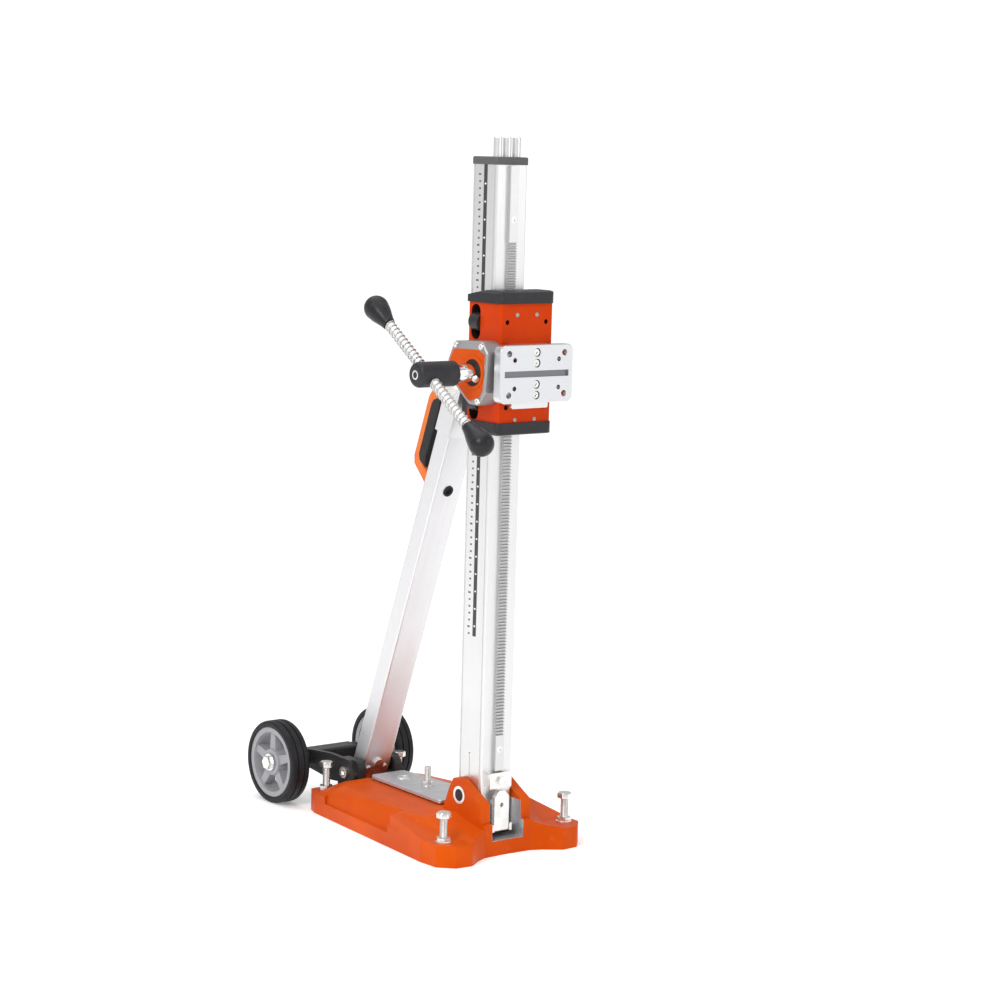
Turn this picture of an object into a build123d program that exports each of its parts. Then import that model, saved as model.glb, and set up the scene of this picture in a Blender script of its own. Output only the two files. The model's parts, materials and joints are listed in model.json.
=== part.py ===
"""Tilting core drill rig: base, tilting column, sliding carriage, crank, brace and transport wheels.

Frame: X to the right, -Y to the front, +Z up. The origin is on the floor, below the column's
centre line. All sizes are in millimetres.
"""
from build123d import *
from math import cos, pi, radians, sin, tan
import os

# ---- driving dimensions ------------------------------------------------------------------
COLUMN_SIDE = 55.0          # square section of the column
COLUMN_BOTTOM = 34.0
COLUMN_TOP = 991.0
PIVOT_Z = 82.0              # tilt axis, along X through the column's centre line
PIVOT_R = 9.0
RUNNING_FIT = 0.05          # radial clearance of pins and shafts that turn
SLIDE_GAP = 0.4             # between bodies that slide or pass each other
SIDE_GAP = 1.0              # between the column and the cheeks of its slot

BASE_SKIRT = 32.0           # height of the casting's rim and feet
SPINE_TOP = 56.0            # height of the raised middle
SLOT_FLOOR = 22.0           # machined floor under the column
SLOT_REAR_GAP = 4.5         # behind the column, in its slot
CHEEK_THICK = 17.0

SCREW_R = 6.0               # levelling screws
SCREW_HEAD_AF = 19.0
SCREW_TOP = 76.0
SCREW_TIP = 2.0
FRONT_SCREW = (112.0, -50.0)
REAR_SCREW = (68.5, 301.0)

FOOT_Y = 283.0              # brace foot pin
FOOT_Z = 60.0
HEAD_GAP = 34.5             # from the column's rear face to the brace head pin
HEAD_Z = 668.0
BRACE_WIDTH = 50.0
BRACE_DEPTH = 30.0
BRACE_WALL = 3.0
BRACE_PIN_R = 6.0
FOOT_PLAY_Y = 16.0          # free travel of the foot pin in its blind slots
FOOT_PLAY_Z = 9.0

WHEEL_R = 64.0
WHEEL_WIDTH = 32.6
WHEEL_Y = 386.0
WHEEL_OUTER_X = 116.0
RIM_R = 54.0
AXLE_R = 8.0

CARRIAGE_WALL = 19.5        # from the column's side to the housing's outer face
CARRIAGE_NOSE = 41.5        # from the column's front face to the housing's front
CARRIAGE_REAR = 3.0
CARRIAGE_BOTTOM = 630.0
CARRIAGE_TOP = 798.0
CAP_HEIGHT = 18.0
ROLLER_R = 12.8
ROLLER_WIDTH = 20.0
ROLLER_Y = -11.8
ROLLER_AXLE_R = 5.0
ROLLER_HEIGHTS = (656.0, 770.0)

MODULE = 1.5                # rack and pinion
PINION_TEETH = 16
TOOTH_SLACK = 0.80          # tooth thickness as a share of half the pitch
RACK_HALF_X = 7.5
RACK_THICK = 6.5
RACK_LOW = 119.0
RACK_END_GAP = 1.0          # below the column's top
PLAIN_LOW = 54.0            # toothless lengths at the rack's two ends
PLAIN_HIGH = 107.0
FEED_Z = 701.0              # crank and pinion axis

PLATE_WIDTH = 132.0         # motor plate
PLATE_HEIGHT = 82.0
PLATE_THICK = 14.0
PLATE_Z = 701.0
ADAPTER_THICK = 11.0        # between the carriage and the motor plate

HUB_R = 18.0
HUB_LENGTH = 67.0
HUB_GAP = 35.0              # from the gearbox to the hub
CRANK_TILT = 34.3           # rise of the crank bar at rest, in degrees
KNOB_REACH = 149.0
KNOB_R = 18.0

# ---- sizes that follow -------------------------------------------------------------------
COLUMN_HALF = COLUMN_SIDE / 2
SLOT_HALF = COLUMN_HALF + SIDE_GAP
CHEEK_OUT = SLOT_HALF + CHEEK_THICK
PITCH = pi * MODULE
PITCH_R = MODULE * PINION_TEETH / 2
ADDENDUM = MODULE
DEDENDUM = 1.25 * MODULE
RACK_BACK_Y = -COLUMN_HALF
RACK_TIP_Y = RACK_BACK_Y - RACK_THICK
RACK_HIGH = COLUMN_TOP - RACK_END_GAP
PITCH_LINE_Y = RACK_TIP_Y + ADDENDUM
FEED_Y = PITCH_LINE_Y - PITCH_R
GAPS_BELOW = int((FEED_Z - RACK_LOW - PLAIN_LOW) / PITCH)
GAPS_ABOVE = int((RACK_HIGH - PLAIN_HIGH - FEED_Z) / PITCH)
ROLLER_X = COLUMN_HALF + SLIDE_GAP + ROLLER_R
CARRIAGE_HALF_X = COLUMN_HALF + CARRIAGE_WALL
CARRIAGE_FRONT = -COLUMN_HALF - CARRIAGE_NOSE
ADAPTER_FRONT = CARRIAGE_FRONT - ADAPTER_THICK
PLATE_FRONT = ADAPTER_FRONT - PLATE_THICK
GEARBOX_OUT = -CARRIAGE_HALF_X - 28.0
HUB_INNER_X = GEARBOX_OUT - HUB_GAP
HUB_OUTER_X = HUB_INNER_X - HUB_LENGTH
CRANK_X = HUB_OUTER_X + 22.0
HEAD_Y = COLUMN_HALF + HEAD_GAP
BRACE_RUN = HEAD_Y - FOOT_Y
BRACE_RISE = HEAD_Z - FOOT_Z
BRACE_LENGTH = (BRACE_RUN**2 + BRACE_RISE**2) ** 0.5
BRACE_PLANE = Plane(
    origin=(0, FOOT_Y, FOOT_Z),
    x_dir=(0, BRACE_RISE / BRACE_LENGTH, -BRACE_RUN / BRACE_LENGTH),
    z_dir=(1, 0, 0),
)                           # local x points rearwards off the brace, local y along it, z to +X
LUG_IN = BRACE_WIDTH / 2 + 2.5
LUG_OUT = LUG_IN + 12.5


# ---- helpers -----------------------------------------------------------------------------
def block(x, y, z):
    """A box between pairs of coordinates."""
    size = [pair[1] - pair[0] for pair in (x, y, z)]
    middle = [(pair[1] + pair[0]) / 2 for pair in (x, y, z)]
    return Pos(*middle) * Box(*size)


def rod_x(radius, x, y, z):
    """A cylinder along X between the pair x."""
    return Pos((x[0] + x[1]) / 2, y, z) * Rot(0, 90, 0) * Cylinder(radius, x[1] - x[0])


def rod_y(radius, x, y, z):
    """A cylinder along Y between the pair y."""
    return Pos(x, (y[0] + y[1]) / 2, z) * Rot(90, 0, 0) * Cylinder(radius, y[1] - y[0])


def rod_z(radius, x, y, z):
    """A cylinder along Z between the pair z."""
    return Pos(x, y, (z[0] + z[1]) / 2) * Cylinder(radius, z[1] - z[0])


def outline(points):
    return make_face(Polyline(*points, close=True))


def prism_x(points, x):
    """Points (y, z) swept along X."""
    return extrude(Plane.YZ.offset(x[0]) * outline(points), x[1] - x[0])


def prism_y(points, y):
    """Points (x, z) swept along Y."""
    return extrude(Plane.XZ.offset(-y[1]) * outline(points), y[1] - y[0])


def prism_z(points, z):
    """Points (x, y) swept along Z."""
    return extrude(Plane.XY.offset(z[0]) * outline(points), z[1] - z[0])


def mirrored(points):
    """A right-hand run of (x, y) points closed by its mirror image in X."""
    return list(points) + [(-x, y) for x, y in reversed(points) if x > 0]


def both(shape):
    """The shape and its mirror image in the YZ plane."""
    return shape + mirror(shape, about=Plane.YZ)


def hex_z(across_flats, x, y, z):
    face = RegularPolygon(across_flats / 2, 6, major_radius=False)
    return extrude(Plane.XY.offset(z[0]) * (Pos(x, y) * face), z[1] - z[0])


def hex_x(across_flats, y, z, x):
    face = RegularPolygon(across_flats / 2, 6, major_radius=False)
    return extrude(Plane.YZ.offset(x[0]) * (Pos(y, z) * face), x[1] - x[0])


def hex_y(across_flats, x, y, z):
    face = RegularPolygon(across_flats / 2, 6, major_radius=False)
    return extrude(Plane.XZ.offset(-y[1]) * (Pos(x, z) * face), y[1] - y[0])


def on_brace(points, half_width):
    """Points (off, along) in the brace's own plane, swept to both sides of the middle."""
    face = BRACE_PLANE.offset(-half_width) * outline(points)
    return extrude(face, 2 * half_width)


def joined(shapes):
    """The shapes as one."""
    whole = shapes[0]
    for shape in shapes[1:]:
        whole += shape
    return whole


def save(shape, node):
    export_step(shape, f"parts/{node}.step")


# ---- base --------------------------------------------------------------------------------
BASE_OUTLINE = [
    (0, -56), (42, -58), (60, -66), (84, -83), (112, -81), (132, -60), (133, -24),
    (94, 296), (84, 320), (52, 320), (42, 306), (0, 306),
]
SHOULDER_LOW = [(34, -52), (74, -52), (126, 40), (94, 284), (80, 304), (36, 300)]
SHOULDER_MIDDLE = [(34, -50), (62, -46), (106, 62), (72, 246), (56, 268), (34, 268)]
SHOULDER_HIGH = [(30, -44), (40, -34), (52, 40), (42, 236), (38, 246), (30, 248)]
SHOULDER_Z = 50.0           # height of the shoulder's outer edge
FLANK = [(-50, 20), (-34, BASE_SKIRT), (36, 45), (64, SHOULDER_Z), (64, 20)]
DISH_CENTRE = (118.0, -72.0)
DISH_R = 247.0
CHEEK = [(-52, 40), (-49, 77), (-28, 88), (-6, 100.5), (3, 104.5), (15, 104.5), (24, 90), (37, 58), (37, 40)]
STUD_Y = 136.0
ANCHOR_SLOT_HALF = 9.0
ANCHOR_SLOT = (66.0, 206.0)
FOOT_WELL = (244.0, 330.0)
FOOT_WELL_FLOOR = 30.0
LUG_Y = (FOOT_Y - FOOT_PLAY_Y - BRACE_PIN_R - 6, FOOT_Y + FOOT_PLAY_Y + BRACE_PIN_R + 6)
LUG_TOP = FOOT_Z + FOOT_PLAY_Z + BRACE_PIN_R + 5


def foot_slot():
    """Blind slot in the inner face of the right-hand lug, with play for the foot pin."""
    half_y = FOOT_PLAY_Y + BRACE_PIN_R
    half_z = FOOT_PLAY_Z + BRACE_PIN_R
    pocket = Box(7, 2 * half_y, 2 * half_z)
    pocket = fillet(pocket.edges().filter_by(Axis.X), BRACE_PIN_R)
    return Pos(LUG_IN + 3.5, FOOT_Y, FOOT_Z) * pocket


def rear_lug():
    """Bracket of the wheel frame, let into the casting, that carries the brace's foot pin."""
    lug = block((LUG_IN, LUG_OUT), LUG_Y, (FOOT_WELL_FLOOR, LUG_TOP))
    top_edges = lug.edges().filter_by(Axis.X).group_by(Axis.Z)[-1]
    return fillet(top_edges, 12)


def front_flank():
    """Side wall that rises rearwards from the front corner to the shoulder's peak."""
    return prism_x(FLANK, (60, 140)) & prism_z(mirrored(BASE_OUTLINE), (0, SPINE_TOP))


def front_dish():
    """Wide shallow dish around the right-hand front levelling screw."""
    x, y = DISH_CENTRE
    ball = Pos(x, y, BASE_SKIRT - 1 + DISH_R) * Sphere(DISH_R)
    return ball & block((CHEEK_OUT, x + 80), (y - 80, y + 180), (BASE_SKIRT, BASE_SKIRT + 60))


def front_rim():
    """Rim beside the slot, which falls towards the foot."""
    rim = prism_y([(SLOT_HALF, 10), (SLOT_HALF, 48), (38, 48), (82, BASE_SKIRT), (82, 10)], (-84, -46))
    return rim & prism_z(mirrored(BASE_OUTLINE), (0, 60))


def side_scoop():
    """Long recess in the side, open outwards, deepest at its front end."""
    low = Plane.XY.offset(21) * outline([(140, 72), (112, 262), (95, 262), (110, 72)])
    high = Plane.XY.offset(58) * outline([(140, 68), (112, 266), (88, 266), (90, 68)])
    return loft([low, high], ruled=True)


def base_casting():
    skirt = prism_z(mirrored(BASE_OUTLINE), (0, BASE_SKIRT))
    upright = skirt.edges().filter_by(Axis.Z).filter_by(lambda edge: abs(edge.center().X) > 40)
    skirt = fillet(upright, 7)
    low = Plane.XY.offset(BASE_SKIRT) * outline(mirrored(SHOULDER_LOW))
    middle = Plane.XY.offset(SHOULDER_Z) * outline(mirrored(SHOULDER_MIDDLE))
    high = Plane.XY.offset(SPINE_TOP) * outline(mirrored(SHOULDER_HIGH))
    casting = skirt + loft([low, middle], ruled=True) + loft([middle, high], ruled=True)
    casting += both(front_flank())
    casting -= both(side_scoop())
    casting += both(front_rim())
    casting -= both(front_dish())
    cheek = prism_x(CHEEK, (SLOT_HALF, CHEEK_OUT))
    casting += both(cheek)
    casting -= block((-SLOT_HALF, SLOT_HALF), (-100, COLUMN_HALF + SLOT_REAR_GAP), (SLOT_FLOOR, 130))
    casting -= block((-LUG_IN, LUG_IN), FOOT_WELL, (FOOT_WELL_FLOOR, 130))
    casting -= both(rear_lug())
    casting -= rod_x(PIVOT_R, (-CHEEK_OUT - 1, CHEEK_OUT + 1), 0, PIVOT_Z)
    anchor = ANCHOR_SLOT_HALF
    casting -= block((-anchor, anchor), ANCHOR_SLOT, (-5, SPINE_TOP + 5))
    casting -= both(block((24, 76), (56, 226), (-5, 18)))
    casting -= both(block((60, 100), (-34, 24), (-5, 18)))
    for x, y in (FRONT_SCREW, REAR_SCREW):
        casting -= both(rod_z(SCREW_R + RUNNING_FIT, x, y, (-5, 60)))
        casting -= both(rod_z(14, x, y, (BASE_SKIRT, 60)))
    casting -= both(prism_x(ARM, (LUG_OUT, LUG_OUT + ARM_THICK)))
    return casting


PLATE_UNDER = SPINE_TOP + 2.0
PLATE_UPPER = PLATE_UNDER + 5.0
PLATE_OUTLINE = [(43, 50), (31, 238)]
LEVEL_Y = 196.0
LEVEL_R = 13.0


def cover_plate():
    """Grey plate on the spine, with the anchor slot's slide hole and the level's seat."""
    plate = prism_z(mirrored(PLATE_OUTLINE), (PLATE_UNDER, PLATE_UPPER))
    plate = fillet(plate.edges().filter_by(Axis.Z), 6)
    plate = chamfer(plate.faces().sort_by(Axis.Z)[-1].edges(), 0.8)
    plate -= rod_z(5.2, 0, STUD_Y, (PLATE_UNDER - 1, PLATE_UPPER + 1))
    plate -= rod_z(LEVEL_R, 0, LEVEL_Y, (PLATE_UNDER + 1, PLATE_UPPER + 1))
    return plate


def plate_gasket():
    inset = [(x - 3, y) for x, y in ((43, 54), (31, 234))]
    gasket = prism_z(mirrored(inset), (SPINE_TOP, PLATE_UNDER))
    return gasket - block((-12, 12), (ANCHOR_SLOT[0] - 3, ANCHOR_SLOT[1] + 3), (SPINE_TOP - 1, PLATE_UNDER + 1))


def anchor_stud():
    """Threaded stud with a T-head that is drawn up in the anchor slot."""
    stud = rod_z(5.0, 0, STUD_Y, (46, 92))
    stud = chamfer(stud.edges().sort_by(Axis.Z)[-1], 1)
    return stud + block((-ANCHOR_SLOT_HALF + 0.5, ANCHOR_SLOT_HALF - 0.5), (STUD_Y - 11, STUD_Y + 11), (44, 50))


def bullseye_level():
    body = rod_z(LEVEL_R, 0, LEVEL_Y, (PLATE_UNDER + 1, PLATE_UPPER + 1.5))
    return chamfer(body.edges().sort_by(Axis.Z)[-1], 0.8)


def pivot_rings():
    right = rod_x(PIVOT_R + 4, (CHEEK_OUT, CHEEK_OUT + 1.2), 0, PIVOT_Z)
    right -= rod_x(PIVOT_R, (CHEEK_OUT - 1, CHEEK_OUT + 3), 0, PIVOT_Z)
    return both(right)


def base_group():
    save(base_casting(), "base_casting")
    save(cover_plate(), "cover_plate")
    save(plate_gasket(), "plate_gasket")
    save(anchor_stud(), "anchor_stud")
    save(bullseye_level(), "bullseye_level")
    save(rod_x(PIVOT_R, (-CHEEK_OUT - 1, CHEEK_OUT + 1), 0, PIVOT_Z), "pivot_shaft")
    save(pivot_rings(), "pivot_rings")


# ---- levelling screws --------------------------------------------------------------------
NUT_HEIGHT = 7.0


def levelling_screw(x, y):
    shank = rod_z(SCREW_R, x, y, (SCREW_TIP, SCREW_TOP - 8))
    shank = chamfer(shank.edges().sort_by(Axis.Z)[:1], 1.5)
    head = hex_z(SCREW_HEAD_AF, x, y, (SCREW_TOP - 8, SCREW_TOP))
    return shank + (head & rod_z(SCREW_HEAD_AF / 2 + 1.0, x, y, (SCREW_TOP - 8, SCREW_TOP)))


def screw_nuts():
    nuts = []
    for x, y in (FRONT_SCREW, REAR_SCREW):
        nut = hex_z(SCREW_HEAD_AF, x, y, (BASE_SKIRT, BASE_SKIRT + NUT_HEIGHT))
        nut += rod_z(12, x, y, (BASE_SKIRT, BASE_SKIRT + 1.5))
        nut -= rod_z(SCREW_R + RUNNING_FIT, x, y, (BASE_SKIRT - 1, BASE_SKIRT + NUT_HEIGHT + 1))
        nuts.append(both(nut))
    return joined(nuts)


def levelling_group():
    corners = {"front": FRONT_SCREW, "rear": REAR_SCREW}
    for end, (x, y) in corners.items():
        save(levelling_screw(-x, y), f"levelling_screw_{end}_left")
        save(levelling_screw(x, y), f"levelling_screw_{end}_right")
    save(screw_nuts(), "levelling_nuts")


# ---- wheels ------------------------------------------------------------------------------
ARM_THICK = 7.0
ARM = [(257, 60), (266, 45), (318, 41), (390, 50), (402, 64), (392, 77), (324, 82), (274, 80)]
CROSS_TUBE_R = 10.5
CROSS_TUBE_END = WHEEL_OUTER_X - WHEEL_WIDTH - 4


def wheel_frame():
    """Lugs and arms welded to the cross member that holds the axle."""
    tube = rod_x(CROSS_TUBE_R, (-CROSS_TUBE_END, CROSS_TUBE_END), WHEEL_Y, WHEEL_R)
    cross_y = (WHEEL_Y - 18, WHEEL_Y + 14)
    beam = block((-LUG_OUT, LUG_OUT), cross_y, (WHEEL_R - 11, WHEEL_R + 13))
    beam = fillet(beam.edges().filter_by(Axis.X), 4)
    frame = both(wheel_arm()) + both(rear_lug()) + tube + beam
    frame -= both(foot_slot())
    frame -= both(rod_x(5, (LUG_OUT - 3, LUG_OUT + 2), FOOT_Y, FOOT_Z))
    return frame - rod_x(AXLE_R, (-CROSS_TUBE_END - 1, CROSS_TUBE_END + 1), WHEEL_Y, WHEEL_R)


def wheel_arm():
    plate = prism_x(ARM, (LUG_OUT, LUG_OUT + ARM_THICK))
    plate = fillet(plate.edges().filter_by(Axis.X), 5)
    return plate - rod_x(5, (LUG_OUT - 1, LUG_OUT + ARM_THICK + 1), FOOT_Y, FOOT_Z)


def arm_bolts():
    inner = LUG_OUT - 3
    face = LUG_OUT + ARM_THICK
    bolt = rod_x(5, (inner, face), FOOT_Y, FOOT_Z) + rod_x(9, (face, face + 4), FOOT_Y, FOOT_Z)
    bolt -= hex_x(8, FOOT_Y, FOOT_Z, (face + 1.5, face + 5))
    return both(bolt)


def rim(side):
    """Five-spoke rim, outer face towards side (+1 right, -1 left)."""
    outer = side * WHEEL_OUTER_X
    inner = side * (WHEEL_OUTER_X - WHEEL_WIDTH)
    x = (min(outer, inner) + 2, max(outer, inner) - 2)
    ring = rod_x(RIM_R, x, WHEEL_Y, WHEEL_R) - rod_x(RIM_R - 8, (x[0] - 1, x[1] + 1), WHEEL_Y, WHEEL_R)
    hub = rod_x(20, x, WHEEL_Y, WHEEL_R)
    middle = (x[0] + x[1]) / 2 + side * 3
    spokes = []
    for turn in range(5):
        bar = prism_x([(-7.5, 15), (7.5, 15), (5.5, 48), (-5.5, 48)], (-8, 8))
        bar = Pos(middle, WHEEL_Y, WHEEL_R) * Rot(72 * turn, 0, 0) * bar
        spokes.append(bar)
    bore = rod_x(AXLE_R + RUNNING_FIT, (x[0] - 1, x[1] + 1), WHEEL_Y, WHEEL_R)
    return ring + hub + joined(spokes) - bore


def tyre(side):
    outer = side * WHEEL_OUTER_X
    inner = side * (WHEEL_OUTER_X - WHEEL_WIDTH)
    x = (min(outer, inner), max(outer, inner))
    ring = rod_x(WHEEL_R, x, WHEEL_Y, WHEEL_R)
    ring = fillet(ring.edges(), 6)
    ring -= rod_x(RIM_R, (x[0] - 1, x[1] + 1), WHEEL_Y, WHEEL_R)
    for groove in (-8.0, 8.0):
        middle = (x[0] + x[1]) / 2 + groove
        cut = rod_x(WHEEL_R + 1, (middle - 1.2, middle + 1.2), WHEEL_Y, WHEEL_R)
        ring -= cut - rod_x(WHEEL_R - 1.5, (middle - 2, middle + 2), WHEEL_Y, WHEEL_R)
    return ring


def axle_nuts():
    """Washer and domed nut outside each wheel."""
    start = WHEEL_OUTER_X - 0.6
    right = rod_x(13, (start, start + 2), WHEEL_Y, WHEEL_R) + hex_x(18, WHEEL_Y, WHEEL_R, (start + 2, start + 8))
    right -= rod_x(AXLE_R, (start - 1, start + 6), WHEEL_Y, WHEEL_R)
    return both(right)


def wheel_group():
    save(wheel_frame(), "wheel_frame")
    reach = WHEEL_OUTER_X + 5.4
    save(rod_x(AXLE_R, (-reach, reach), WHEEL_Y, WHEEL_R), "wheel_axle")
    save(axle_nuts() + arm_bolts(), "wheel_fasteners")
    for name, side in (("left", -1), ("right", 1)):
        save(rim(side), f"wheel_rim_{name}")
        save(tyre(side), f"wheel_tyre_{name}")


# ---- column ------------------------------------------------------------------------------
COLUMN_WALL = 4.0
T_MOUTH_HALF = 4.6
T_MOUTH_DEEP = 3.0
T_HEAD_HALF = 8.6
T_HEAD_DEEP = 6.0
BUSH_R = PIVOT_R + 4
STRIP_Y = -1.8
STRIP_HALF = 4.0
STRIP_DEEP = 0.6
STRIP_LOW = 314.0
RACK_SCREW_HEIGHTS = (RACK_LOW + 31.5, COLUMN_TOP - 77.0)
CAP_TOP = COLUMN_TOP + 11.0
POST_TOP = COLUMN_TOP + 39.0
CAP_POSTS = (-17.0, 0.0, 17.0)
CAP_POST_Y = -14.0


def column_profile():
    """Hollow section with a T-slot in the rear face and shallow guide grooves in the sides."""
    half = COLUMN_HALF
    room = COLUMN_SIDE - 2 * COLUMN_WALL
    outer = RectangleRounded(COLUMN_SIDE, COLUMN_SIDE, 2.5)
    web = Pos(0, half - 7) * Rectangle(2 * T_HEAD_HALF + 7, 14)
    profile = outer - (RectangleRounded(room, room, 2.0) - web)
    profile -= Pos(0, half) * Rectangle(2 * T_MOUTH_HALF, 2 * T_MOUTH_DEEP)
    head_y = half - T_MOUTH_DEEP - T_HEAD_DEEP / 2
    profile -= Pos(0, head_y) * Rectangle(2 * T_HEAD_HALF, T_HEAD_DEEP)
    for x in (-half, half):
        for y in (5 - half, half - 5):
            profile -= Pos(x, y) * Rectangle(1.6, 2.4)
    return profile


def column_extrusion():
    column = extrude(Plane.XY.offset(COLUMN_BOTTOM) * column_profile(), COLUMN_TOP - COLUMN_BOTTOM)
    column -= rod_x(BUSH_R, (-COLUMN_SIDE, COLUMN_SIDE), 0, PIVOT_Z)
    strip_y = (STRIP_Y - STRIP_HALF, STRIP_Y + STRIP_HALF)
    column -= block((-COLUMN_HALF - 1, -COLUMN_HALF + STRIP_DEEP), strip_y, (STRIP_LOW, COLUMN_TOP + 1))
    column -= block((-COLUMN_HALF - 1, -COLUMN_HALF + 0.8), (0.6, 2.2), (60, 141))
    column -= rod_x(2, (-COLUMN_HALF - 1, -COLUMN_HALF + 2), 1.4, 141)
    for height in RACK_SCREW_HEIGHTS + (BRACKET_SCREW_Z,):
        column -= rod_y(3, 0, (RACK_BACK_Y - 1, RACK_BACK_Y + 10), height)
    return column


def rack():
    """Bar with teeth cut in its front face; a gap is centred on the pinion's height at rest."""
    gap = PITCH / 2 - TOOTH_SLACK * PITCH / 4
    gap_at_tip = gap + ADDENDUM * tan(radians(20))
    gap_at_root = gap - DEDENDUM * tan(radians(20))
    root_y = PITCH_LINE_Y + DEDENDUM
    points = [(RACK_BACK_Y, RACK_LOW), (RACK_TIP_Y, RACK_LOW)]
    for step in range(-GAPS_BELOW, GAPS_ABOVE + 1):
        middle = FEED_Z + step * PITCH
        points.append((RACK_TIP_Y, middle - gap_at_tip))
        points.append((root_y, middle - gap_at_root))
        points.append((root_y, middle + gap_at_root))
        points.append((RACK_TIP_Y, middle + gap_at_tip))
    points += [(RACK_TIP_Y, RACK_HIGH), (RACK_BACK_Y, RACK_HIGH)]
    bar = prism_x(points, (-RACK_HALF_X, RACK_HALF_X))
    for height in RACK_SCREW_HEIGHTS:
        bar -= rod_y(3, 0, (RACK_TIP_Y - 1, RACK_BACK_Y + 1), height)
        bar -= rod_y(5, 0, (RACK_TIP_Y - 1, RACK_TIP_Y + 2.5), height)
    return bar


def rack_screws():
    """Two flush screws through the plain ends of the rack."""
    screws = []
    for height in RACK_SCREW_HEIGHTS:
        screw = rod_y(5, 0, (RACK_TIP_Y + 0.3, RACK_TIP_Y + 2.5), height)
        screw += rod_y(3, 0, (RACK_TIP_Y + 2.5, RACK_BACK_Y + 8), height)
        screws.append(screw - hex_y(5, 0, (RACK_TIP_Y, RACK_TIP_Y + 1.8), height))
    return joined(screws)


def scale_strip():
    x = (-COLUMN_HALF, -COLUMN_HALF + STRIP_DEEP)
    return block(x, (STRIP_Y - STRIP_HALF, STRIP_Y + STRIP_HALF), (STRIP_LOW, COLUMN_TOP))


def column_cap():
    half = COLUMN_HALF + 1.5
    cap = block((-half, half), (-half, half), (COLUMN_TOP, CAP_TOP))
    cap = fillet(cap.edges().filter_by(Axis.Z), 4)
    cap = chamfer(cap.faces().sort_by(Axis.Z)[-1].edges(), 1.5)
    for x in CAP_POSTS:
        cap -= rod_z(6, x, CAP_POST_Y, (COLUMN_TOP + 3, CAP_TOP + 1))
    return cap


def cap_posts():
    posts = []
    for x in CAP_POSTS:
        post = rod_z(6, x, CAP_POST_Y, (COLUMN_TOP + 3, POST_TOP))
        post = chamfer(post.edges().sort_by(Axis.Z)[-1], 1)
        posts.append(post)
    return joined(posts)


def pivot_bush():
    bush = rod_x(BUSH_R, (-COLUMN_HALF, COLUMN_HALF), 0, PIVOT_Z)
    return bush - rod_x(PIVOT_R + RUNNING_FIT, (-COLUMN_SIDE, COLUMN_SIDE), 0, PIVOT_Z)


def foot_cap():
    half = COLUMN_HALF - 2.5
    return block((-half, half), (-half, half), (COLUMN_BOTTOM - 3, COLUMN_BOTTOM))


def column_group():
    save(column_extrusion(), "column_extrusion")
    save(rack(), "feed_rack")
    save(rack_screws() + bracket_screw(), "column_front_screws")
    save(scale_strip(), "scale_strip")
    save(column_cap() + foot_cap(), "column_caps")
    save(cap_posts(), "cap_posts")
    save(pivot_bush(), "pivot_bush")


# ---- fold-out centre pointer -------------------------------------------------------------
BRACKET_SCREW_Z = 105.0
POINTER_HALF = 13.5
POINTER_TOP = 91.0
POINTER_THICK = 6.0
POINTER_BACK = -COLUMN_HALF - 8.5
POINTER_PIN = (-COLUMN_HALF - 11.5, 36.0)
POINTER_PIN_R = 2.5
BLOCK_FRONT = -COLUMN_HALF - 5.5
BRACKET_FRONT = -COLUMN_HALF - 10.5


def pointer_bracket():
    """Upper plate on the column's front that keeps the pointer's tip."""
    plate = block((-20, 20), (BRACKET_FRONT, RACK_BACK_Y), (94, 117))
    plate = fillet(plate.edges().filter_by(Axis.Y), 2)
    plate -= rod_y(3, 0, (BRACKET_FRONT - 2, RACK_BACK_Y + 1), BRACKET_SCREW_Z)
    return plate - block((-RACK_HALF_X, RACK_HALF_X), (RACK_TIP_Y - 2, RACK_BACK_Y + 1), (114, 118))


def bracket_screw():
    screw = rod_y(3, 0, (BRACKET_FRONT, RACK_BACK_Y + 9), BRACKET_SCREW_Z)
    return screw + hex_y(12, 0, (BRACKET_FRONT - 4, BRACKET_FRONT), BRACKET_SCREW_Z)


def pointer_hinge():
    """Block with two lugs and their pin at the column's foot."""
    y, z = POINTER_PIN
    base = block((-18.5, 18.5), (BLOCK_FRONT, RACK_BACK_Y), (z - 7, z + 9))
    lug = block((POINTER_HALF + SLIDE_GAP, 18.5), (y - 4.5, RACK_BACK_Y), (z - 5, z + 6))
    return base + both(lug) + rod_x(POINTER_PIN_R, (-19.5, 19.5), y, z)


def pointer_arm():
    """Flat bar that folds down to the front; its tip shows the hole's centre."""
    y, z = POINTER_PIN
    front = POINTER_BACK - POINTER_THICK
    half = POINTER_HALF
    arm = prism_y([(-half, z), (half, z), (half, 82), (5, POINTER_TOP), (-5, POINTER_TOP), (-half, 82)],
                  (front, POINTER_BACK))
    arm += block((-half, half), (y - 3, y + 3), (z - 3, z + 1))
    arm += rod_x(3.0, (-half, half), y, z)
    arm -= rod_x(POINTER_PIN_R + RUNNING_FIT, (-25, 25), y, z)
    return arm - rod_y(3, 0, (front - 1, POINTER_BACK + 1), 70)


def pointer_group():
    save(pointer_bracket(), "pointer_bracket")
    save(pointer_hinge(), "pointer_hinge")
    save(pointer_arm(), "pointer_arm")


# ---- brace and its clamp -----------------------------------------------------------------
CLAMP_REAR = COLUMN_HALF + 15.5
CLAMP_Z = (626.0, 710.0)
CLAMP_BOLTS = (635.0, 701.0)
TONGUE_HALF = 12.0
EYE_R = 17.0
SEAM = 574.0                # along the brace, where the head casting starts
TUBE_END = 608.0
HEAD_HALF_X = BRACE_WIDTH / 2 + 2
HOLE_ALONG = 486.0
FOOT_BOLT_ALONG = 19.0


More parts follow.
